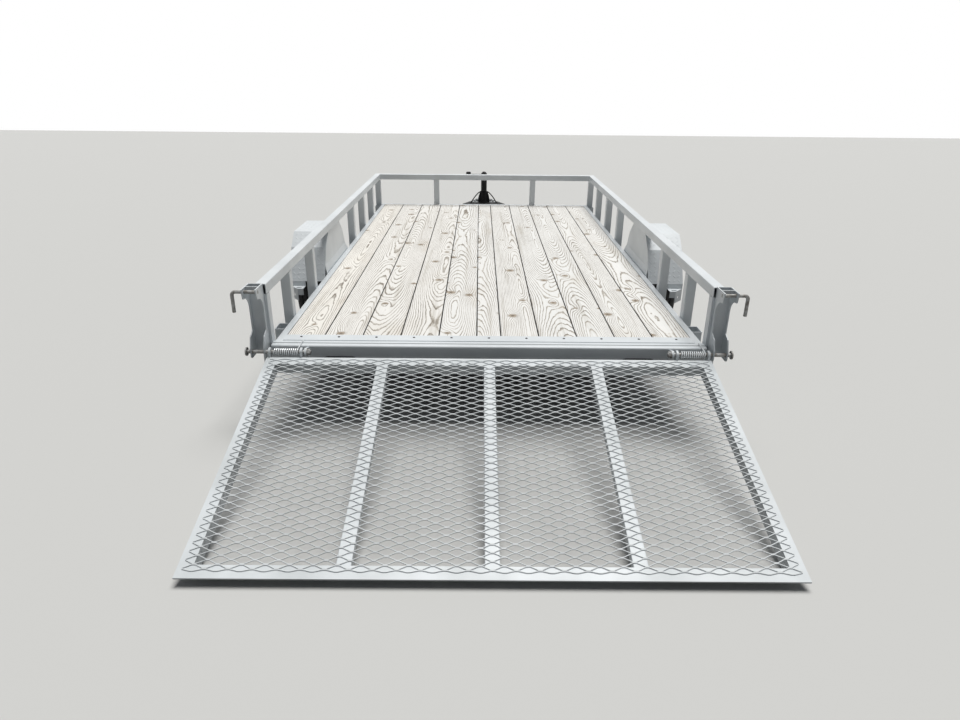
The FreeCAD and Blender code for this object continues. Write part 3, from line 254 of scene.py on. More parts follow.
def pine_rings(tree, grain, noise, bulge):
    """Growth rings of the boards: nought in the pale early wood, one on a ring's dark edge.

    The distance from the pith is the length of (across, height). height is the pith's depth and a
    slow wander, at least 12 mm. A ripple and the knots' bulges are added to the distance, and its
    place within a ring goes through a ramp. Rings are drawn 8.5 mm apart, about twice the real
    ones, which would be too fine to show.
    """
    wander, ripple, swell = 0.36, 0.013, 0.024
    rings_in_metre = 118.0
    part = add(tree, "SeparateXYZ", {0: grain})
    height = add(tree, "Math", {0: noise["wander"], 1: wander, 2: part[2]},
                 operation="MULTIPLY_ADD")[0]
    for operation, value in (("SUBTRACT", wander / 2), ("ABSOLUTE", 0.0), ("MAXIMUM", 0.012)):
        height = add(tree, "Math", {0: height, 1: value}, operation=operation)[0]
    square = add(tree, "CombineXYZ", {0: part[0], 1: height})[0]
    radius = add(tree, "VectorMath", {0: square}, operation="LENGTH")["Value"]
    for source, share in ((noise["ripple"], ripple), (bulge, swell)):
        radius = add(tree, "Math", {0: source, 1: share, 2: radius}, operation="MULTIPLY_ADD")[0]
    for operation, value in (("SUBTRACT", ripple / 2), ("MULTIPLY", rings_in_metre),
                             ("FRACT", 0.0)):
        radius = add(tree, "Math", {0: radius, 1: value}, operation=operation)[0]
    return add(tree, "ValToRGB", {0: radius}, ((0.0, 0.10), (0.05, 0.0), (0.66, 0.04), (0.86, 1.0),
                                               (0.95, 1.0), (1.0, 0.10)))["Color"]


def sawn_pine():
    """Planed pine, greyed by weather: growth rings cut flat, so they run in arches and islands.

    The boards carry a vector: across the board from the pith, along it, and the pith's depth.
    They also carry their tone, and how far a point is down a rounded edge.
    """
    made, tree, shader = material("weathered_sawn_pine", Roughness=0.78, Specular_IOR_Level=0.2)
    grain = add(tree, "Attribute", attribute_name="grain")["Vector"]
    tone = add(tree, "Attribute", attribute_name="tone")["Fac"]
    edge = add(tree, "Attribute", attribute_name="edge")["Fac"]
    noise = pine_noises(tree, grain)
    here, near, bulge = pine_knots(tree, grain, noise["torn"])
    late = pine_rings(tree, grain, noise, bulge)
    # Rings are strong in some places, faint in others and broken in fine steps
    start, breaks, strength, contrast, fibre_relief = -0.86, 1.5, 1.7, 4.0, 0.6
    mark = start
    for source, share in ((noise["broken"], breaks), (noise["strong"], strength)):
        mark = add(tree, "Math", {0: source, 1: share, 2: mark}, operation="MULTIPLY_ADD")[0]
    mark = add(tree, "Math", {0: mark, 1: late}, operation="MULTIPLY", use_clamp=True)[0]
    bold = add(tree, "Math", {0: mark, 1: contrast}, operation="MULTIPLY", use_clamp=True)[0]
    # A ramp ends at one, so what lies past a knot's radius is read at half the scale
    near_half = add(tree, "Math", {0: near, 1: 0.5}, operation="MULTIPLY")[0]
    # What each shade or share follows, and its stops
    rows = (("base", tone, ((0.0, "#ECECEA"), (0.5, "#EDEBE7"), (1.0, "#ECE8E1"))),
            ("line", mark, ((0.0, "#E6E3DD"), (0.45, "#C6C1B9"), (1.0, "#877F75"))),
            ("stain", noise["stain"], ((0.58, "#FFFFFF"), (0.82, "#DDD4C6"))),
            ("streak", noise["streak"], ((0.53, "#FFFFFF"), (0.76, "#D3CFC8"))),
            ("heart", near, ((0.10, "#4C4239"), (0.30, "#85786A"), (0.75, "#B5A896"),
                             (1.00, "#7C7063"))),
            ("seen", near, ((0.85, 0.95), (1.0, 0.6), (1.0, 0.35))),
            ("reach", near_half, ((0.45, 1.0), (0.85, 0.0))),
            ("split", noise["split"], ((0.73, 0.0), (0.78, 0.75))),
            ("crack", tone, ((0.0, "#6E675F"), (1.0, "#74685B"))),
            ("fibre", noise["fibre"], ((0.25, 0.91), (0.6, 1.0))),
            # Painted shade: the wood darkens down each eased edge, as the gaps between boards fall into shade
            ("painted_seam_shade", edge, ((0.06, 1.0), (0.32, 0.14))))
    shade = {name: add(tree, "ValToRGB", {0: source}, stops)["Color"]
             for name, source, stops in rows}
    knot = add(tree, "Math", {0: here, 1: shade["seen"]}, operation="MULTIPLY")[0]
    knot = add(tree, "Math", {0: knot, 1: shade["reach"]}, operation="MULTIPLY")[0]
    # Shades laid over the wood in turn: rings, stains, streaks, knots, thin dark splits along the
    # grain, fibres, and painted shade down the eased edges, where the boards meet
    layers = (("MIX", bold, "line"), ("MULTIPLY", 0.5, "stain"), ("MULTIPLY", 0.8, "streak"),
              ("MIX", knot, "heart"), ("MIX", shade["split"], "crack"),
              ("MULTIPLY", 1.0, "fibre"), ("MULTIPLY", 1.0, "painted_seam_shade"))
    wood = shade["base"]
    for blend, share, over in layers:
        wood = add(tree, "Mix", {0: share, 6: wood, 7: shade[over]}, data_type="RGBA",
                   blend_type=blend)[2]
    relief = add(tree, "Math", {0: noise["fibre"], 1: fibre_relief}, operation="MULTIPLY")[0]
    relief = add(tree, "Math", {0: relief, 1: mark}, operation="SUBTRACT")[0]
    skin = add(tree, "Bump", {"Height": relief, "Strength": 0.5, "Distance": 0.0006})["Normal"]
    feed(shader, Base_Color=wood, Normal=skin)
    return made


def moulded_lens(name, colour, deep):
    """Clear dyed acrylic over a grid of small prisms, 5 mm apart, which break up its gloss."""
    prism = 0.005
    made, tree, shader = material(name, Roughness=0.16, Coat_Weight=0.6, Coat_Roughness=0.06)
    place = add(tree, "TexCoord")["Object"]
    cells = add(tree, "TexVoronoi", {"Vector": place, "Scale": 1 / prism, "Randomness": 0.0})
    shade = add(tree, "ValToRGB", {0: cells["Distance"]}, ((0.1, colour), (0.7, deep)))["Color"]
    skin = add(tree, "Bump", {"Height": cells["Distance"], "Strength": 0.4,
                              "Distance": 0.001})["Normal"]
    feed(shader, Base_Color=shade, Normal=skin)
    return made


# Powder coat is baked on evenly: satin, with a faint orange peel
steel = coated("grey_powder_coated_steel", "#D7DCDF", "#CCD1D4", 0.40, coat=0.2)
# The gate is the same coat with road dust in soft patches
gate_steel = coated("dusty_powder_coated_steel", "#D4D9DC", "#C4C9CB", 0.46, patch=0.22, coat=0.1)
# Pressed mesh has thinner coat on its torn edges, so it looks duller
mesh_steel = coated("powder_coated_expanded_metal", "#D0D4D6", "#BFC3C5", 0.48, patch=0.15)
pine = sawn_pine()
# Vulcanised rubber is dull, greyed by dust on the walls
rubber = coated("vulcanised_tyre_rubber", "#2B2B2C", "#1C1C1D", 0.78, grit=0.002, patch=0.12)
# Wheel enamel is bright, fine metal flake under a clear coat
silver = coated("silver_wheel_enamel", "#C3C5C7", "#B2B4B6", 0.34, metallic=0.35, coat=0.4)
# Black enamel lies thick over castings and tube, and has dulled outdoors
black = coated("black_enamelled_steel", "#121213", "#0B0B0C", 0.60, patch=0.1, gloss=0.25)
# Zinc plate is bluish and slightly cloudy
zinc = coated("zinc_plated_steel", "#C9CCCE", "#A9ACAE", 0.34, metallic=0.85, patch=0.03)
# Plain steel rods that have lain outdoors are grey, with brown breaking through
rod_steel = coated("weathered_steel_rod", "#9A9B9A", "#6F6B66", 0.5, metallic=0.55, patch=0.02)
# Galvanised spring wire is bright, with a fine drawn skin
wire = coated("galvanised_spring_wire", "#D2D5D7", "#B4B7B9", 0.32, metallic=0.8, patch=0.02)
# Deck screws have a phosphate coat, which is dark and dull
phosphate = coated("phosphated_screws", "#3A3A3B", "#262627", 0.55, metallic=0.6, patch=0.02)
# Lamp lenses are moulded acrylic: a deep colour under a glossy face
red = moulded_lens("red_moulded_acrylic", "#B3121A", "#6E0A10")
amber = moulded_lens("amber_moulded_acrylic", "#E08A1E", "#A35A0C")
# Lead sheath and grommets are soft black vinyl, with little shine
vinyl = coated("black_vinyl_sheath", "#141415", "#0D0D0E", 0.65, patch=0.05, gloss=0.25)


def painted_shadow_gap():
    """The frame's coat, with a painted shadow where the strip ends, in a line 5 mm wide.

    The shade follows the distance from the strip's end along y: dark up to 2.5 mm from it, then
    fading out by 5.5 mm. The ramp's one stands for 10 mm.
    """
    made = steel.copy()
    made.name = "grey_coat_with_painted_shadow"
    tree = made.node_tree
    shader = tree.nodes["Principled BSDF"]
    coat = shader.inputs["Base Color"].links[0].from_socket
    off = add(tree, "SeparateXYZ", {0: add(tree, "TexCoord")["Object"]})[1]
    end = parked([(0, STRIP_END, DECK)])[0]
    for operation, value in (("SUBTRACT", end[1]), ("ABSOLUTE", 0.0), ("DIVIDE", 0.010)):
        off = add(tree, "Math", {0: off, 1: value}, operation=operation)[0]
    # Painted shadow: dark grey along the strip's end, standing for the shade under the strip's rear edge
    painted_shade = add(tree, "ValToRGB", {0: off}, ((0.25, "#5D6265"), (0.55, "#FFFFFF")))["Color"]
    both = add(tree, "Mix", {0: 1.0, 6: coat, 7: painted_shade}, data_type="RGBA",
               blend_type="MULTIPLY")[2]
    feed(shader, Base_Color=both)
    return made


def finish_nodes():
    """Gives every node the material of its slot, and a few nodes a finish of their own."""
    by_slot = {"grey_powder_coat": steel, "pine_board": pine, "tyre_rubber": rubber,
               "silver_wheel": silver, "black_steel": black, "zinc_steel": zinc,
               "red_lens": red, "amber_lens": amber, "black_cable": vinyl}
    own = {"gate_frame": gate_steel, "gate_ribs": gate_steel, "hinge_rods": rod_steel,
           # The rear crossmember's coat carries a painted shadow along the strip's end
           "latch_bolts": rod_steel, "rear_crossmember": painted_shadow_gap()}
    for row in frame["record"]["subparts"]:
        materials = nodes[row["node"]].data.materials
        materials.clear()
        materials.append(own.get(row["node"], by_slot[row["material_slot"]]))


finish_nodes()


# Meshes
def piece(name, points, faces, finish, body, stands_for=(), crease=35.0, extra=None):
    """New piece from rows of points and faces, riding on a body; edges past crease stay sharp."""
    mesh = bpy.data.meshes.new(name)
    mesh.from_pydata(np.asarray(points, float).tolist(), [], [list(f) for f in faces])
    mesh.polygons.foreach_set("use_smooth", np.ones(len(mesh.polygons), bool))
    mesh.set_sharp_from_angle(angle=math.radians(crease))
    for key, values in (extra or {}).items():
        values = np.asarray(values, np.float32)
        kind, field = ("FLOAT_VECTOR", "vector") if values.ndim == 2 else ("FLOAT", "value")
        layer = mesh.attributes.new(key, kind, "POINT")
        layer.data.foreach_set(field, values.ravel())
    mesh.materials.append(finish)
    mesh.validate()
    mesh.update()
    made = bpy.data.objects.new(name, mesh)
    scene.collection.objects.link(made)
    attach(made, body)
    if stands_for:
        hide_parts(*stands_for)


def flipped(faces):
    """The same faces, looking the other way."""
    return [list(f)[::-1] for f in faces]


def quads(rows, columns, wrap_rows=False, wrap_columns=False):
    """Faces of a grid of rows by columns, joined round where it wraps."""
    r = np.arange(rows if wrap_rows else rows - 1)[:, None]
    c = np.arange(columns if wrap_columns else columns - 1)[None, :]
    r2, c2 = (r + 1) % rows, (c + 1) % columns
    return np.stack(np.broadcast_arrays(r * columns + c, r * columns + c2, r2 * columns + c2,
                                        r2 * columns + c), -1).reshape(-1, 4)


def end_faces(count, sides):
    """Faces that close the first and the last ring of a tube of count points."""
    return [list(range(sides))[::-1], [count - sides + i for i in range(sides)]]


def stacked(parts):
    """Several (points, faces) meshes as one."""
    points, faces, count = [], [], 0
    for p, f in parts:
        points.append(np.asarray(p, float))
        faces += [[int(i) + count for i in face] for face in f]
        count += len(p)
    return np.concatenate(points), faces


def repeated(points, faces, moves):
    """One small mesh at each row of moves; whole arrays, no loop over points."""
    points, faces, moves = (np.asarray(v) for v in (points, faces, moves))
    all_points = (points[None] + moves[:, None]).reshape(-1, 3)
    step = (np.arange(len(moves)) * len(points))[:, None, None]
    return all_points, (faces[None] + step).reshape(-1, faces.shape[1])


def lengths(line):
    """Distance run along a line of corners, at each corner."""
    return np.concatenate([[0], np.cumsum(np.hypot(*np.diff(line, axis=0).T))])


def swept(path, radius, sides=8, capped=True):
    """Round bar along a path: at each point a ring square to the path's direction.

    The ring's first axis is the part of a fixed reference that is square to the direction, and its
    second axis their cross product. radius is one number or one for each point.
    """
    path = np.asarray(path, float)
    ahead = np.gradient(path, axis=0)
    ahead /= np.linalg.norm(ahead, axis=1, keepdims=True)
    reference = np.eye(3)[int(np.argmin(np.abs(ahead).mean(0)))]
    first = reference - ahead * (ahead @ reference)[:, None]
    first /= np.linalg.norm(first, axis=1, keepdims=True)
    second = np.cross(ahead, first)
    turn = (np.arange(sides) * 2 * math.pi / sides)[None, :, None]
    ring = np.cos(turn) * first[:, None] + np.sin(turn) * second[:, None]
    radius = np.broadcast_to(np.asarray(radius, float), (len(path),))
    points = (path[:, None] + ring * radius[:, None, None]).reshape(-1, 3)
    faces = quads(len(path), sides, wrap_columns=True).tolist()
    if capped:
        faces += end_faces(len(points), sides)
    return points, flipped(faces)


# A turned profile that is closed at an end stops this near its axis
NEAR_AXIS = 0.0001


def turned(profile, sides, closed=False):
    """Profile of (radius, height) rows turned about the z axis, with both of its ends closed.

    Where closed is true the profile is itself a ring, and has no ends.
    """
    radius, height = np.asarray(profile, float).T[:, :, None]
    turn = np.arange(sides) * 2 * math.pi / sides
    points = np.stack(np.broadcast_arrays(radius * np.cos(turn), radius * np.sin(turn),
                                          height + 0 * turn), -1).reshape(-1, 3)
    faces = quads(len(profile), sides, wrap_rows=closed, wrap_columns=True).tolist()
    if not closed:
        faces += end_faces(len(points), sides)
    return points, faces


def both_sides(parts):
    """Right-hand meshes and their mirror images, whose faces still point outwards."""
    return stacked(list(parts) + [(np.asarray(p) * [-1, 1, 1], flipped(f)) for p, f in parts])


# Deck
def boards():
    """Board with eased edges, carried along y; it wavers sideways by half a millimetre.

    Across the board the outline is a rounded rectangle, and each station along it is that outline
    moved by a slow sine. The grain vector and the tone are worked out for every point.
    """
    seed = np.random.default_rng(11)
    ease, ease_steps, top_steps, stations = 0.004, 5, 7, 26
    waver = 0.0005
    widths = np.array([BOARD] * 5 + [NARROW_BOARD] + [BOARD] * 5)
    starts = BOARD_EDGE_GAP - HALF_DECK + np.concatenate([[0], np.cumsum(widths[:-1] + BOARD_GAP)])
    along = np.linspace(DECK_REAR, DECK_FRONT, stations)
    bend = np.linspace(0, math.pi / 2, ease_steps)
    parts, grain, tone, edge = [], [], [], []
    for start, width in zip(starts, widths):
        half, low = width / 2 - ease, BOARD_THICK / 2 - ease
        corners = [(half, low), (-half, low), (-half, -low), (half, -low)]
        outline = np.concatenate([np.stack([u + ease * np.cos(bend + k * math.pi / 2),
                                            v + ease * np.sin(bend + k * math.pi / 2)], 1)
                                  for k, (u, v) in enumerate(corners)])
        across = np.linspace(half, -half, top_steps)[1:-1]
        top = np.stack([across, 0 * across + BOARD_THICK / 2], 1)
        outline = np.concatenate([outline[:ease_steps], top, outline[ease_steps:]])
        sway = waver * np.sin(along * seed.uniform(0.8, 2.2) + seed.uniform(0, 6))[:, None]
        inner = np.abs(outline[:, 0]) < half
        x = start + width / 2 + outline[None, :, 0] + sway * inner
        y, z = along[:, None], DECK - BOARD_THICK / 2 + outline[None, :, 1]
        points = np.stack(np.broadcast_arrays(x, y, z), -1).reshape(-1, 3)
        faces = quads(stations, len(outline), wrap_columns=True).tolist()
        parts.append((points, flipped(faces + end_faces(len(points), len(outline)))))
        pith = seed.uniform(-0.06, 0.06)
        offset = seed.uniform(3, 90)
        depth = seed.uniform(0.03, 0.12)
        u = points[:, 0] - start - width / 2 - pith
        grain.append(np.stack([u, points[:, 1] + offset, depth + points[:, 2] - DECK], 1))
        tone.append(np.full(len(points), seed.uniform(0.05, 0.95)))
        # How far down an eased edge a point lies; the wood darkens with it as painted shade in the gaps
        edge.append(np.clip((DECK - points[:, 2]) / ease, 0, 1))
    points, faces = stacked(parts)
    piece("deck_planks", parked(points), faces, pine, "chassis", ("deck_boards",),
          extra={"grain": np.concatenate(grain), "tone": np.concatenate(tone),
                 "edge": np.concatenate(edge)})


def strip_screws():
    """Star-drive screws through the strip: a low dome turned about z, with a dished middle."""
    count, pitch, inset = 11, 0.180, 0.042
    head = [(0.0064, 0.0), (0.0060, 0.0010), (0.0048, 0.0020), (0.0030, 0.0020),
            (0.0022, 0.0008), (NEAR_AXIS, 0.0006)]
    points, faces = turned(head, 14)
    round_faces = [f for f in faces if len(f) == 4]
    x = (np.arange(count) - (count - 1) / 2) * pitch
    moves = np.stack([x, 0 * x + DECK_REAR + inset, 0 * x + DECK + STRIP_THICK], 1)
    points, faces = repeated(points, round_faces, moves)
    piece("strip_screws", parked(points), faces, phosphate, "chassis")


# Gate
def expanded_mesh():
    """Raised expanded metal at its real pitch, about 75 by 34 mm.

    Each strand runs along x between stations half a long pitch apart. At each station it lies
    towards one neighbour and at the next towards the other, on a short flat where the two are
    one, with straight slopes between. Its section is a rectangle tilted as the press leaves it.
    """
    long_pitch, short_pitch = 0.0762, 0.034
    wide, thick, tilt, flat = 0.0034, 0.0030, math.radians(-6), 0.011
    overlap = wide * 0.46
    half = GATE_HALF - GATE_MEMBER + MESH_LAP
    near = -GATE_SETBACK - GATE_MEMBER + MESH_LAP
    far = -GATE_REACH + GATE_MEMBER - MESH_END_LAP
    periods = round(2 * half / long_pitch)
    strands = 2 * round((near - far) / short_pitch) + 1
    spacing = (near - far - wide) / (strands - 1)
    station = np.arange(2 * periods + 1)
    middle = station * half / periods - half
    ends = middle[:, None] + np.array([-0.5, 0.5]) * flat
    x = np.clip(ends.ravel(), -half, half)[1:-1]
    sign = np.repeat((-1.0) ** station, 2)[1:-1]
    row = np.arange(strands)[:, None]
    y = near - wide / 2 - row * spacing + sign * (-1.0) ** row * (spacing / 2 - overlap)
    y = np.clip(y, far + wide / 2, near - wide / 2)
    a = np.array([-1, 1, 1, -1]) * wide / 2
    b = np.array([-1, -1, 1, 1]) * thick / 2
    dy = a * math.cos(tilt) - b * math.sin(tilt)
    dz = a * math.sin(tilt) + b * math.cos(tilt)
    grid = np.stack(np.broadcast_arrays(x[None, :, None], y[..., None] + dy,
                                        -GATE_DROP - dz.min() + dz), -1)
    faces = quads(len(x), 4, wrap_columns=True).tolist() + end_faces(4 * len(x), 4)
    points, faces = stacked([(strand.reshape(-1, 3), faces) for strand in grid])
    piece("expanded_mesh", on_gate(points), flipped(faces), mesh_steel, "gate", ("gate_mesh",),
          crease=20)


def lifting_coils():
    """Springs that help to lift the gate: wire wound round each hinge rod, a helix of even pitch.

    At its last turn the wire leaves straight over the rear member's edge and lies along the deck.
    At its first turn it runs down behind the rod. Both are wound the same way: the left spring is
    the right one moved over.
    """
    turns, steps, radius, gauge = 11.75, 420, 0.0149, 0.0031
    clear = 0.0002
    t = np.linspace(0, 1, steps)
    angle = math.pi / 2 + (t - 1) * turns * 2 * math.pi
    x = COIL_START + gauge + t * (COIL_END - COIL_START - 2 * gauge)
    helix = np.stack([x, HINGE_Y - radius * np.cos(angle), HINGE_Z + radius * np.sin(angle)], 1)
    over_edge = np.array([helix[-1, 0], FRAME_REAR + MEMBER_BEND, DECK + gauge + clear])
    rise = np.array([0.25, 0.5, 0.8, 1.0, 1.0, 1.0])[:, None]
    lie = np.array([0, 0, 0, 0, 0.020, 0.044])[:, None]
    leg = helix[-1] + (over_edge - helix[-1]) * rise + lie * [0, 1, 0]
    points, faces = swept(np.concatenate([helix, leg]), gauge, 8)
    moved = points - [COIL_START + COIL_END, 0, 0]
    points, faces = stacked([(points, faces), (moved, faces)])
    piece("lifting_coils", parked(points), faces, wire, "chassis", ("assist_springs",))


# Tyres
def tyre_section():
    """Outside of a tyre from bead to bead, as distances from its middle and from the axle.

    Flank, shoulder and crown are corners joined by straight lines, with stations spaced evenly on
    the flank and on the crown, smoothed twice by the mean of neighbours weighed 1, 2 and 1.
    """
    corners = np.array([(0.0762, 0.1910), (0.0772, 0.2090), (0.0900, 0.2250), (0.0990, 0.2480),
                        (0.1012, 0.2670), (0.0990, 0.2880), (0.0935, 0.3060), (0.0860, 0.3250),
                        (0.0790, 0.3360), (0.0700, 0.3402), (0.0350, 0.3430), (0.0, 0.3440)])
    shoulder, flank_steps, crown_steps = 7, 22, 34
    run = lengths(corners)
    s = np.concatenate([np.linspace(0, run[shoulder], flank_steps)[:-1],
                        np.linspace(run[shoulder], run[-1], crown_steps)])
    half = np.stack([np.interp(s, run, corners[:, 0]), np.interp(s, run, corners[:, 1])])
    for _ in range(2):
        half[:, 1:-1] = (half[:, :-2] + 2 * half[:, 1:-1] + half[:, 2:]) / 4
    return np.concatenate([half, half[:, -2::-1] * [[-1], [1]]], 1)


def tread_depth(x, turn):
    """How far the tread is pressed in, by the turn about the axle and the distance from its middle.

    Four grooves zigzag once for each block. A cut crosses each shoulder beside each block.
    """
    blocks = 60
    groove_at, groove_depth, groove_half, groove_slope = (0.017, 0.048), 0.0065, 0.0046, 0.0012
    zigzag = 0.0028
    cut_from, cut_to, cut_depth = 0.054, 0.0850, 0.0050
    inner_slope, outer_slope = 0.003, 0.004
    # Half width of a cut and the width of its walls, as shares of a block
    cut_half, cut_slope = 0.13, 0.03
    phase = (turn * blocks / (2 * math.pi)) % 1
    off_middle = np.abs(x)
    depth = 0
    for line in groove_at:
        off = np.abs(off_middle - line - zigzag * np.abs(phase * 2 - 1))
        depth = np.maximum(depth, groove_depth * np.clip((groove_half - off) / groove_slope, 0, 1))
    across = (np.clip((off_middle - cut_from) / inner_slope, 0, 1)
              * np.clip((cut_to - off_middle) / outer_slope, 0, 1))
    cut = np.clip((cut_half - np.abs(phase - 0.5)) / cut_slope, 0, 1)
    return np.maximum(depth, cut_depth * across * cut)


def tyre(side, sign):
    """Radial trailer tyre: its section turned about the axle, with the tread pressed in.

    On each flank two thin ribs stand out as bell curves of the radius. The lining is a second
    section turned inside the first, which starts and ends at its beads.
    """
    steps, lining_steps = 540, 90
    flank_from = 0.0885
    x, radius = tyre_section()

    def about_axle(across, radius, turn):
        return np.stack(np.broadcast_arrays(WHEEL_X * sign + across, radius * np.cos(turn),
                        AXLE_Z + radius * np.sin(turn)), -1).reshape(-1, 3)

    rib = 0
    for height, at, half in ((0.0010, 0.250, 0.0016), (0.0008, 0.300, 0.0014)):
        rib = rib + height * np.exp(-((radius - at) / half) ** 2)
    across = x + np.where(np.abs(x) > flank_from, np.sign(x) * rib, 0)
    turn = (np.arange(steps) * 2 * math.pi / steps)[:, None]
    outside = about_axle(across, radius - tread_depth(x, turn), turn)
    lining = np.array([(0.0602, 0.1910), (0.0680, 0.2145), (0.0890, 0.2670), (0.0750, 0.3120)])
    lining = np.concatenate([[(x[0], radius[0])], lining, lining[::-1] * [-1, 1],
                             [(x[-1], radius[-1])]])
    turn = (np.arange(lining_steps) * 2 * math.pi / lining_steps)[:, None]
    inside = about_axle(lining[:, 0], lining[:, 1], turn)
    points, faces = stacked([(outside, quads(steps, len(x), wrap_rows=True)),
                             (inside, quads(lining_steps, len(lining), wrap_rows=True)[:, ::-1])])
    piece(side + "_treaded_tyre", parked(points), faces, rubber, side + "_wheel",
          (side + "_tyre",), crease=28)


# Fenders
def tread_plate():
    """Raised lozenges of tread plate on the fenders, in rows that lean one way, then the other.

    A lozenge is a six-sided base with a short ridge. Its middle lies on the fender's outline at a
    length along it, and it is turned to the outline's direction there.
    """
    pitch, half_long, half_wide, high = 0.030, 0.0135, 0.0046, 0.0018
    low_margin, high_margin, bend_margin = 0.020, 0.015, 0.012
    inner_margin, outer_margin = 0.016, 0.012
    rear = np.array(FENDER_REAR)
    line = np.concatenate([rear, rear[::-1] * [-1, 1]])
    run = lengths(line)
    s = np.arange(low_margin, run[-1] - high_margin, pitch)
    x = np.arange(FENDER_INNER + inner_margin, FENDER_OUTER - outer_margin, pitch)
    s, x = (v.ravel() for v in np.meshgrid(s, x, indexing="ij"))
    clear = np.min(np.abs(s[:, None] - run[None, 1:-1]), 1) > bend_margin
    s, x = s[clear], x[clear]
    lean = np.where((np.round(s / pitch) + np.round(x / pitch)) % 2 > 0, 1, -1)
    u = np.array([-1, -0.45, 0.45, 1, 0.45, -0.45, -0.5, 0.5]) * half_long
    v = np.array([0, 0.9, 0.9, 0, -0.9, -0.9, 0, 0]) * half_wide
    w = np.array([0, 0, 0, 0, 0, 0, 1, 1]) * high
    shape = np.array([(6, 1, 0), (7, 2, 1), (6, 7, 1), (7, 3, 2), (7, 4, 3), (6, 5, 4),
                      (7, 6, 4), (6, 0, 5)])
    turn = lean[:, None] * math.pi / 4
    du = u[None] * np.cos(turn) - v[None] * np.sin(turn)
    dv = u[None] * np.sin(turn) + v[None] * np.cos(turn)
    y = np.interp(s[:, None] + du, run, line[:, 0])
    z = np.interp(s[:, None] + du, run, line[:, 1])
    segment = np.clip(np.searchsorted(run, s) - 1, 0, len(line) - 2)
    way = np.diff(line, axis=0)[segment]
    way /= np.linalg.norm(way, axis=1, keepdims=True)
    points = np.stack([x[:, None] + dv, y - way[:, 1:] * w[None], z + way[:, :1] * w[None]], -1)
    faces = (shape[None] + (np.arange(len(s)) * len(u))[:, None, None]).reshape(-1, 3)
    points, faces = both_sides([(points.reshape(-1, 3), faces)])
    piece("fender_tread", parked(points), faces, steel, "chassis", crease=60)


# Welds, nuts and bolts
def bead(start, end):
    """Weld bead: a thin bar whose radius ripples by a fifth every 4 mm, and tapers at its ends."""
    radius, ripple, share, taper, step = 0.0026, 0.004, 0.2, 0.003, 0.0016
    least = 0.15
    start, end = np.asarray(start, float), np.asarray(end, float)
    length = np.linalg.norm(end - start)
    t = np.linspace(0, 1, max(int(length / step), 6))
    thick = radius * (1 + share * np.sin(t * length / ripple * 2 * math.pi))
    thick *= np.clip(np.minimum(t, 1 - t) * length / taper, least, 1)
    return swept(start + (end - start) * t[:, None], thick, 6)


def welds():
    """Weld beads where the uprights and posts meet the rails and the frame."""
    half = TUBE / 2
    inner, outer = FRAME_OUTER, FRAME_OUTER + TUBE
    # How far a bead stays clear of the ends of its edge
    rail_end, post_end, bottom_end, top_end = 0.004, 0.003, 0.012, 0.010
    lines = []
    for y in ([RAIL_REAR + half] + [DECK_REAR + v for v in UPRIGHTS_FROM_REAR]
              + [DECK_FRONT - v for v in UPRIGHTS_FROM_FRONT] + [FRAME_FRONT - half]):
        for edge in (y - half, y + half):
            lines.append(((inner + rail_end, edge, RAIL_BOTTOM),
                          (outer - rail_end, edge, RAIL_BOTTOM)))
            lines.append(((inner, edge, FRAME_BOTTOM + bottom_end),
                          (inner, edge, DECK - top_end)))
    for edge in (FRONT_UPRIGHT - half, FRONT_UPRIGHT + half):
        for z in (DECK, RAIL_BOTTOM):
            lines.append(((edge, DECK_FRONT + rail_end, z), (edge, FRAME_FRONT - rail_end, z)))
    for z in (RAIL_BOTTOM, RAIL_TOP):
        lines.append(((POST_INNER, RAIL_REAR, z), (outer - post_end, RAIL_REAR, z)))
    lines.append(((POST_INNER, RAIL_REAR, POST_BOTTOM), (POST_INNER, RAIL_REAR, RAIL_BOTTOM)))
    points, faces = both_sides([bead(*line) for line in lines])
    piece("weld_beads", parked(points), faces, steel, "chassis", crease=60)


def tongue_bolts():
    """Bolt heads on the jack's plate and on the coupler.

    Each is a hexagon with an eased top on a round washer, both turned about z.
    """
    radius, high, washer, ease = 0.0095, 0.009, 0.002, 0.0012
    wide, top = radius * 1.5, radius * 0.86
    flat = turned([(NEAR_AXIS, 0.0), (wide, 0.0), (wide, washer), (NEAR_AXIS, washer)], 18)
    head = turned([(radius, washer), (radius, high - ease), (top, high)], 6)
    points, faces = stacked([flat, head])
    # Two on the jack's plate, then three on the coupler
    places = [(0.081, JACK_Y + 0.010, MOUNT_TOP), (0.117, JACK_Y + 0.015, MOUNT_TOP),
              (0.034, APEX_Y - 0.062, COUPLER_TOP), (0.100, APEX_Y - 0.270, COUPLER_TOP),
              (0.068, APEX_Y - 0.200, COUPLER_TOP)]
    points, faces = both_sides([(points + place, faces) for place in places])
    piece("tongue_bolts", parked(points), faces, zinc, "chassis")


def jack_trim():
    """Two webs that brace the jack's tube on its plate, and the domed cap with a nut on the tube.

    A web is a flat outline in x and z with its thickness along y. The cap is turned about z.
    """
    thick, front_at, cap_lap = 0.006, 0.003, 0.004
    web = np.array([(0.0300, 0.0), (0.0620, 0.0), (0.0620, 0.0420), (0.0560, 0.0740),
                    (0.0380, 0.1180), (0.0300, 0.1240)])
    cap = [(NEAR_AXIS, 0.0), (0.0335, 0.0), (0.0335, 0.0300), (0.0320, 0.0380), (0.0220, 0.0520),
           (0.0120, 0.0600), (NEAR_AXIS, 0.0615)]
    n = len(web)
    front = np.stack([web[:, 0], 0 * web[:, 0] + JACK_Y + front_at, web[:, 1] + MOUNT_TOP], 1)
    rim = [[i, i + n, (i + 1) % n + n, (i + 1) % n] for i in range(n)]
    sides = [list(range(n)), list(range(n, 2 * n))[::-1]]
    webs = both_sides([(np.concatenate([front, front - [0, thick, 0]]), sides + rim)])
    points, faces = turned(cap, 32)
    dome = (points + [0, JACK_Y, JACK_TOP - cap_lap], faces)
    points, faces = stacked([webs, dome])
    piece("jack_trim", parked(points), faces, black, "chassis", crease=28)


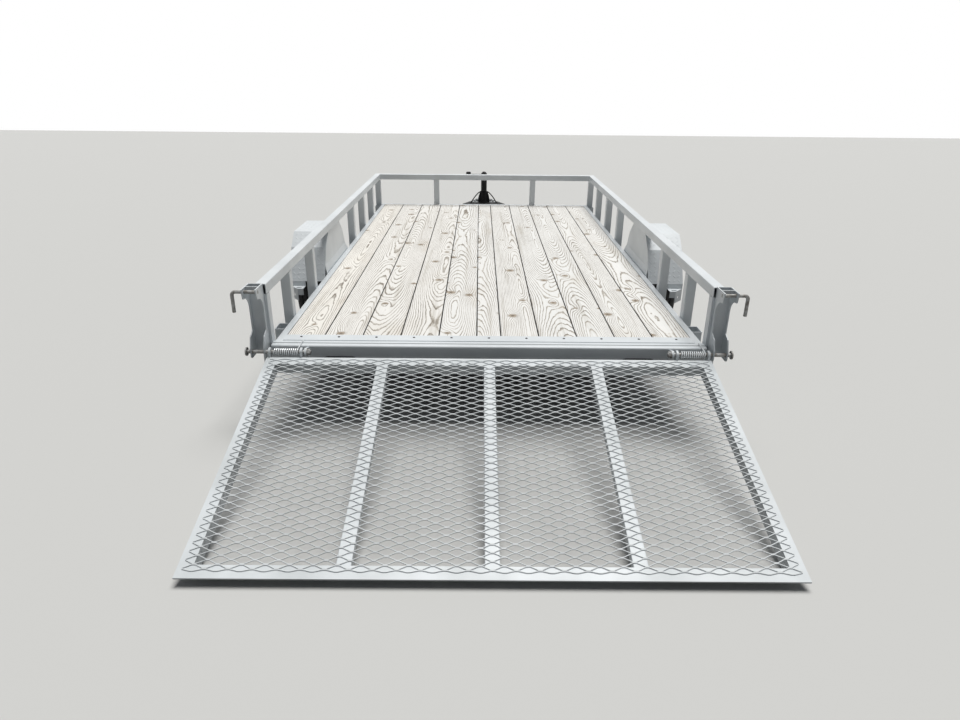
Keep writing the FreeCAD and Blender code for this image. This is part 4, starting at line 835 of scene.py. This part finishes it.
def running_gear_nuts():
    """Nuts on the spring eyes' bolts and on the axle clamps: a six-sided ring with eased edges.

    Each is turned about z, and those on the eyes' bolts are laid along x and made larger.
    """
    high, ease, eye_size, clamp_size = 0.0080, 0.0012, 1.15, 0.85
    # How far the nuts lie from the springs' sides and from the clamps' plates
    eye_off, clamp_off, plate_gap = 0.0054, 0.009, 0.0002
    nut = [(0.0062, 0.0), (0.0088, 0.0), (0.0098, ease), (0.0098, high - ease),
           (0.0088, high), (0.0062, high)]
    points, faces = turned(nut, 6, closed=True)
    lying = points[:, [2, 0, 1]]
    parts = []
    for y in (-EYE_Y, EYE_Y):
        for x in (SPRING_LOW_X - eye_off - high * eye_size, SPRING_HIGH_X + eye_off):
            parts.append((lying * eye_size + [x, y, EYE_Z], faces))
    for x in (SPRING_LOW_X - clamp_off, SPRING_HIGH_X + clamp_off):
        for y in (-CLAMP_Y, CLAMP_Y):
            for z in (CLAMP_LOW - plate_gap - high, CLAMP_HIGH + plate_gap):
                parts.append((points * [clamp_size, clamp_size, 1] + [x, y, z], faces))
    points, faces = both_sides(parts)
    piece("running_gear_nuts", parked(points), faces, zinc, "chassis")


def lamp_grommets():
    """Vinyl rings round the tail lamps: a round bead carried along the lamp's long oval."""
    steps, radius, proud = 64, 0.0042, 0.0015
    turn = np.linspace(0, 2 * math.pi, steps + 1)[:-1]
    u = np.sign(np.cos(turn)) * (LAMP_REACH - LAMP_HALF) + LAMP_HALF * np.cos(turn)
    path = np.stack([LAMP_X + u, 0 * u + FRAME_REAR - proud, LAMP_Z + LAMP_HALF * np.sin(turn)], 1)
    path = np.concatenate([path, path[:1]])
    points, faces = both_sides([swept(path, radius, 8, capped=False)])
    piece("lamp_grommets", parked(points), faces, vinyl, "chassis")


boards()
strip_screws()
expanded_mesh()
lifting_coils()
tyre("left", -1)
tyre("right", 1)
tread_plate()
welds()
tongue_bolts()
jack_trim()
running_gear_nuts()
lamp_grommets()


# Floor and light
def seen_directly(tree):
    """One for light paths that end in the picture, straight or by gloss or glass, else nought."""
    path = add(tree, "LightPath")
    value = path["Is Camera Ray"]
    for name in ("Is Transmission Ray", "Is Glossy Ray"):
        value = add(tree, "Math", {0: value, 1: path[name]}, operation="MAXIMUM")[0]
    return value


def floor():
    """Plain pale floor under the trailer.

    Seen directly it is pale, but it throws back only the light of a grey one.
    """
    size, below = 60.0, 0.0005
    corners = [(-size, -size, -below), (size, -size, -below), (size, size, -below),
               (-size, size, -below)]
    mesh = bpy.data.meshes.new("pale_floor")
    mesh.from_pydata(corners, [], [(0, 1, 2, 3)])
    made, tree, shader = material("pale_floor_paint", Roughness=0.85, Specular_IOR_Level=0.2,
                                  Base_Color=linear("#C8C8C6"))
    dull = add(tree, "BsdfDiffuse", {"Color": linear("#868684")})[0]
    both = add(tree, "MixShader", {0: seen_directly(tree), 1: dull, 2: shader.outputs[0]})[0]
    tree.links.new(both, tree.nodes["Material Output"].inputs["Surface"])
    mesh.materials.append(made)
    stage = bpy.data.objects.new("pale_floor", mesh)
    scene.collection.objects.link(stage)


def studio():
    """White background seen directly, and a weak bluish fill on the trailer."""
    world = bpy.data.worlds.new("studio")
    world.use_nodes = True
    tree = world.node_tree
    tree.nodes.clear()
    fill = add(tree, "Background", {"Color": linear("#E4ECF6"), "Strength": 0.13})[0]
    white = add(tree, "Background", {"Color": linear("#FFFFFF"), "Strength": 1.0})[0]
    both = add(tree, "MixShader", {0: seen_directly(tree), 1: fill, 2: white})[0]
    add(tree, "OutputWorld", {"Surface": both})
    scene.world = world


def soft_key():
    """One wide soft light from above, turned a little so that it comes from ahead and the right."""
    sun = bpy.data.lights.new("soft_key", "SUN")
    sun.energy = 3.2
    sun.angle = math.radians(38)
    sun.color = (1.0, 0.99, 0.97)
    key = bpy.data.objects.new("soft_key", sun)
    key.rotation_euler = (math.radians(-7), math.radians(6), 0)
    scene.collection.objects.link(key)


floor()
studio()
soft_key()
scene.view_settings.view_transform = "Standard"
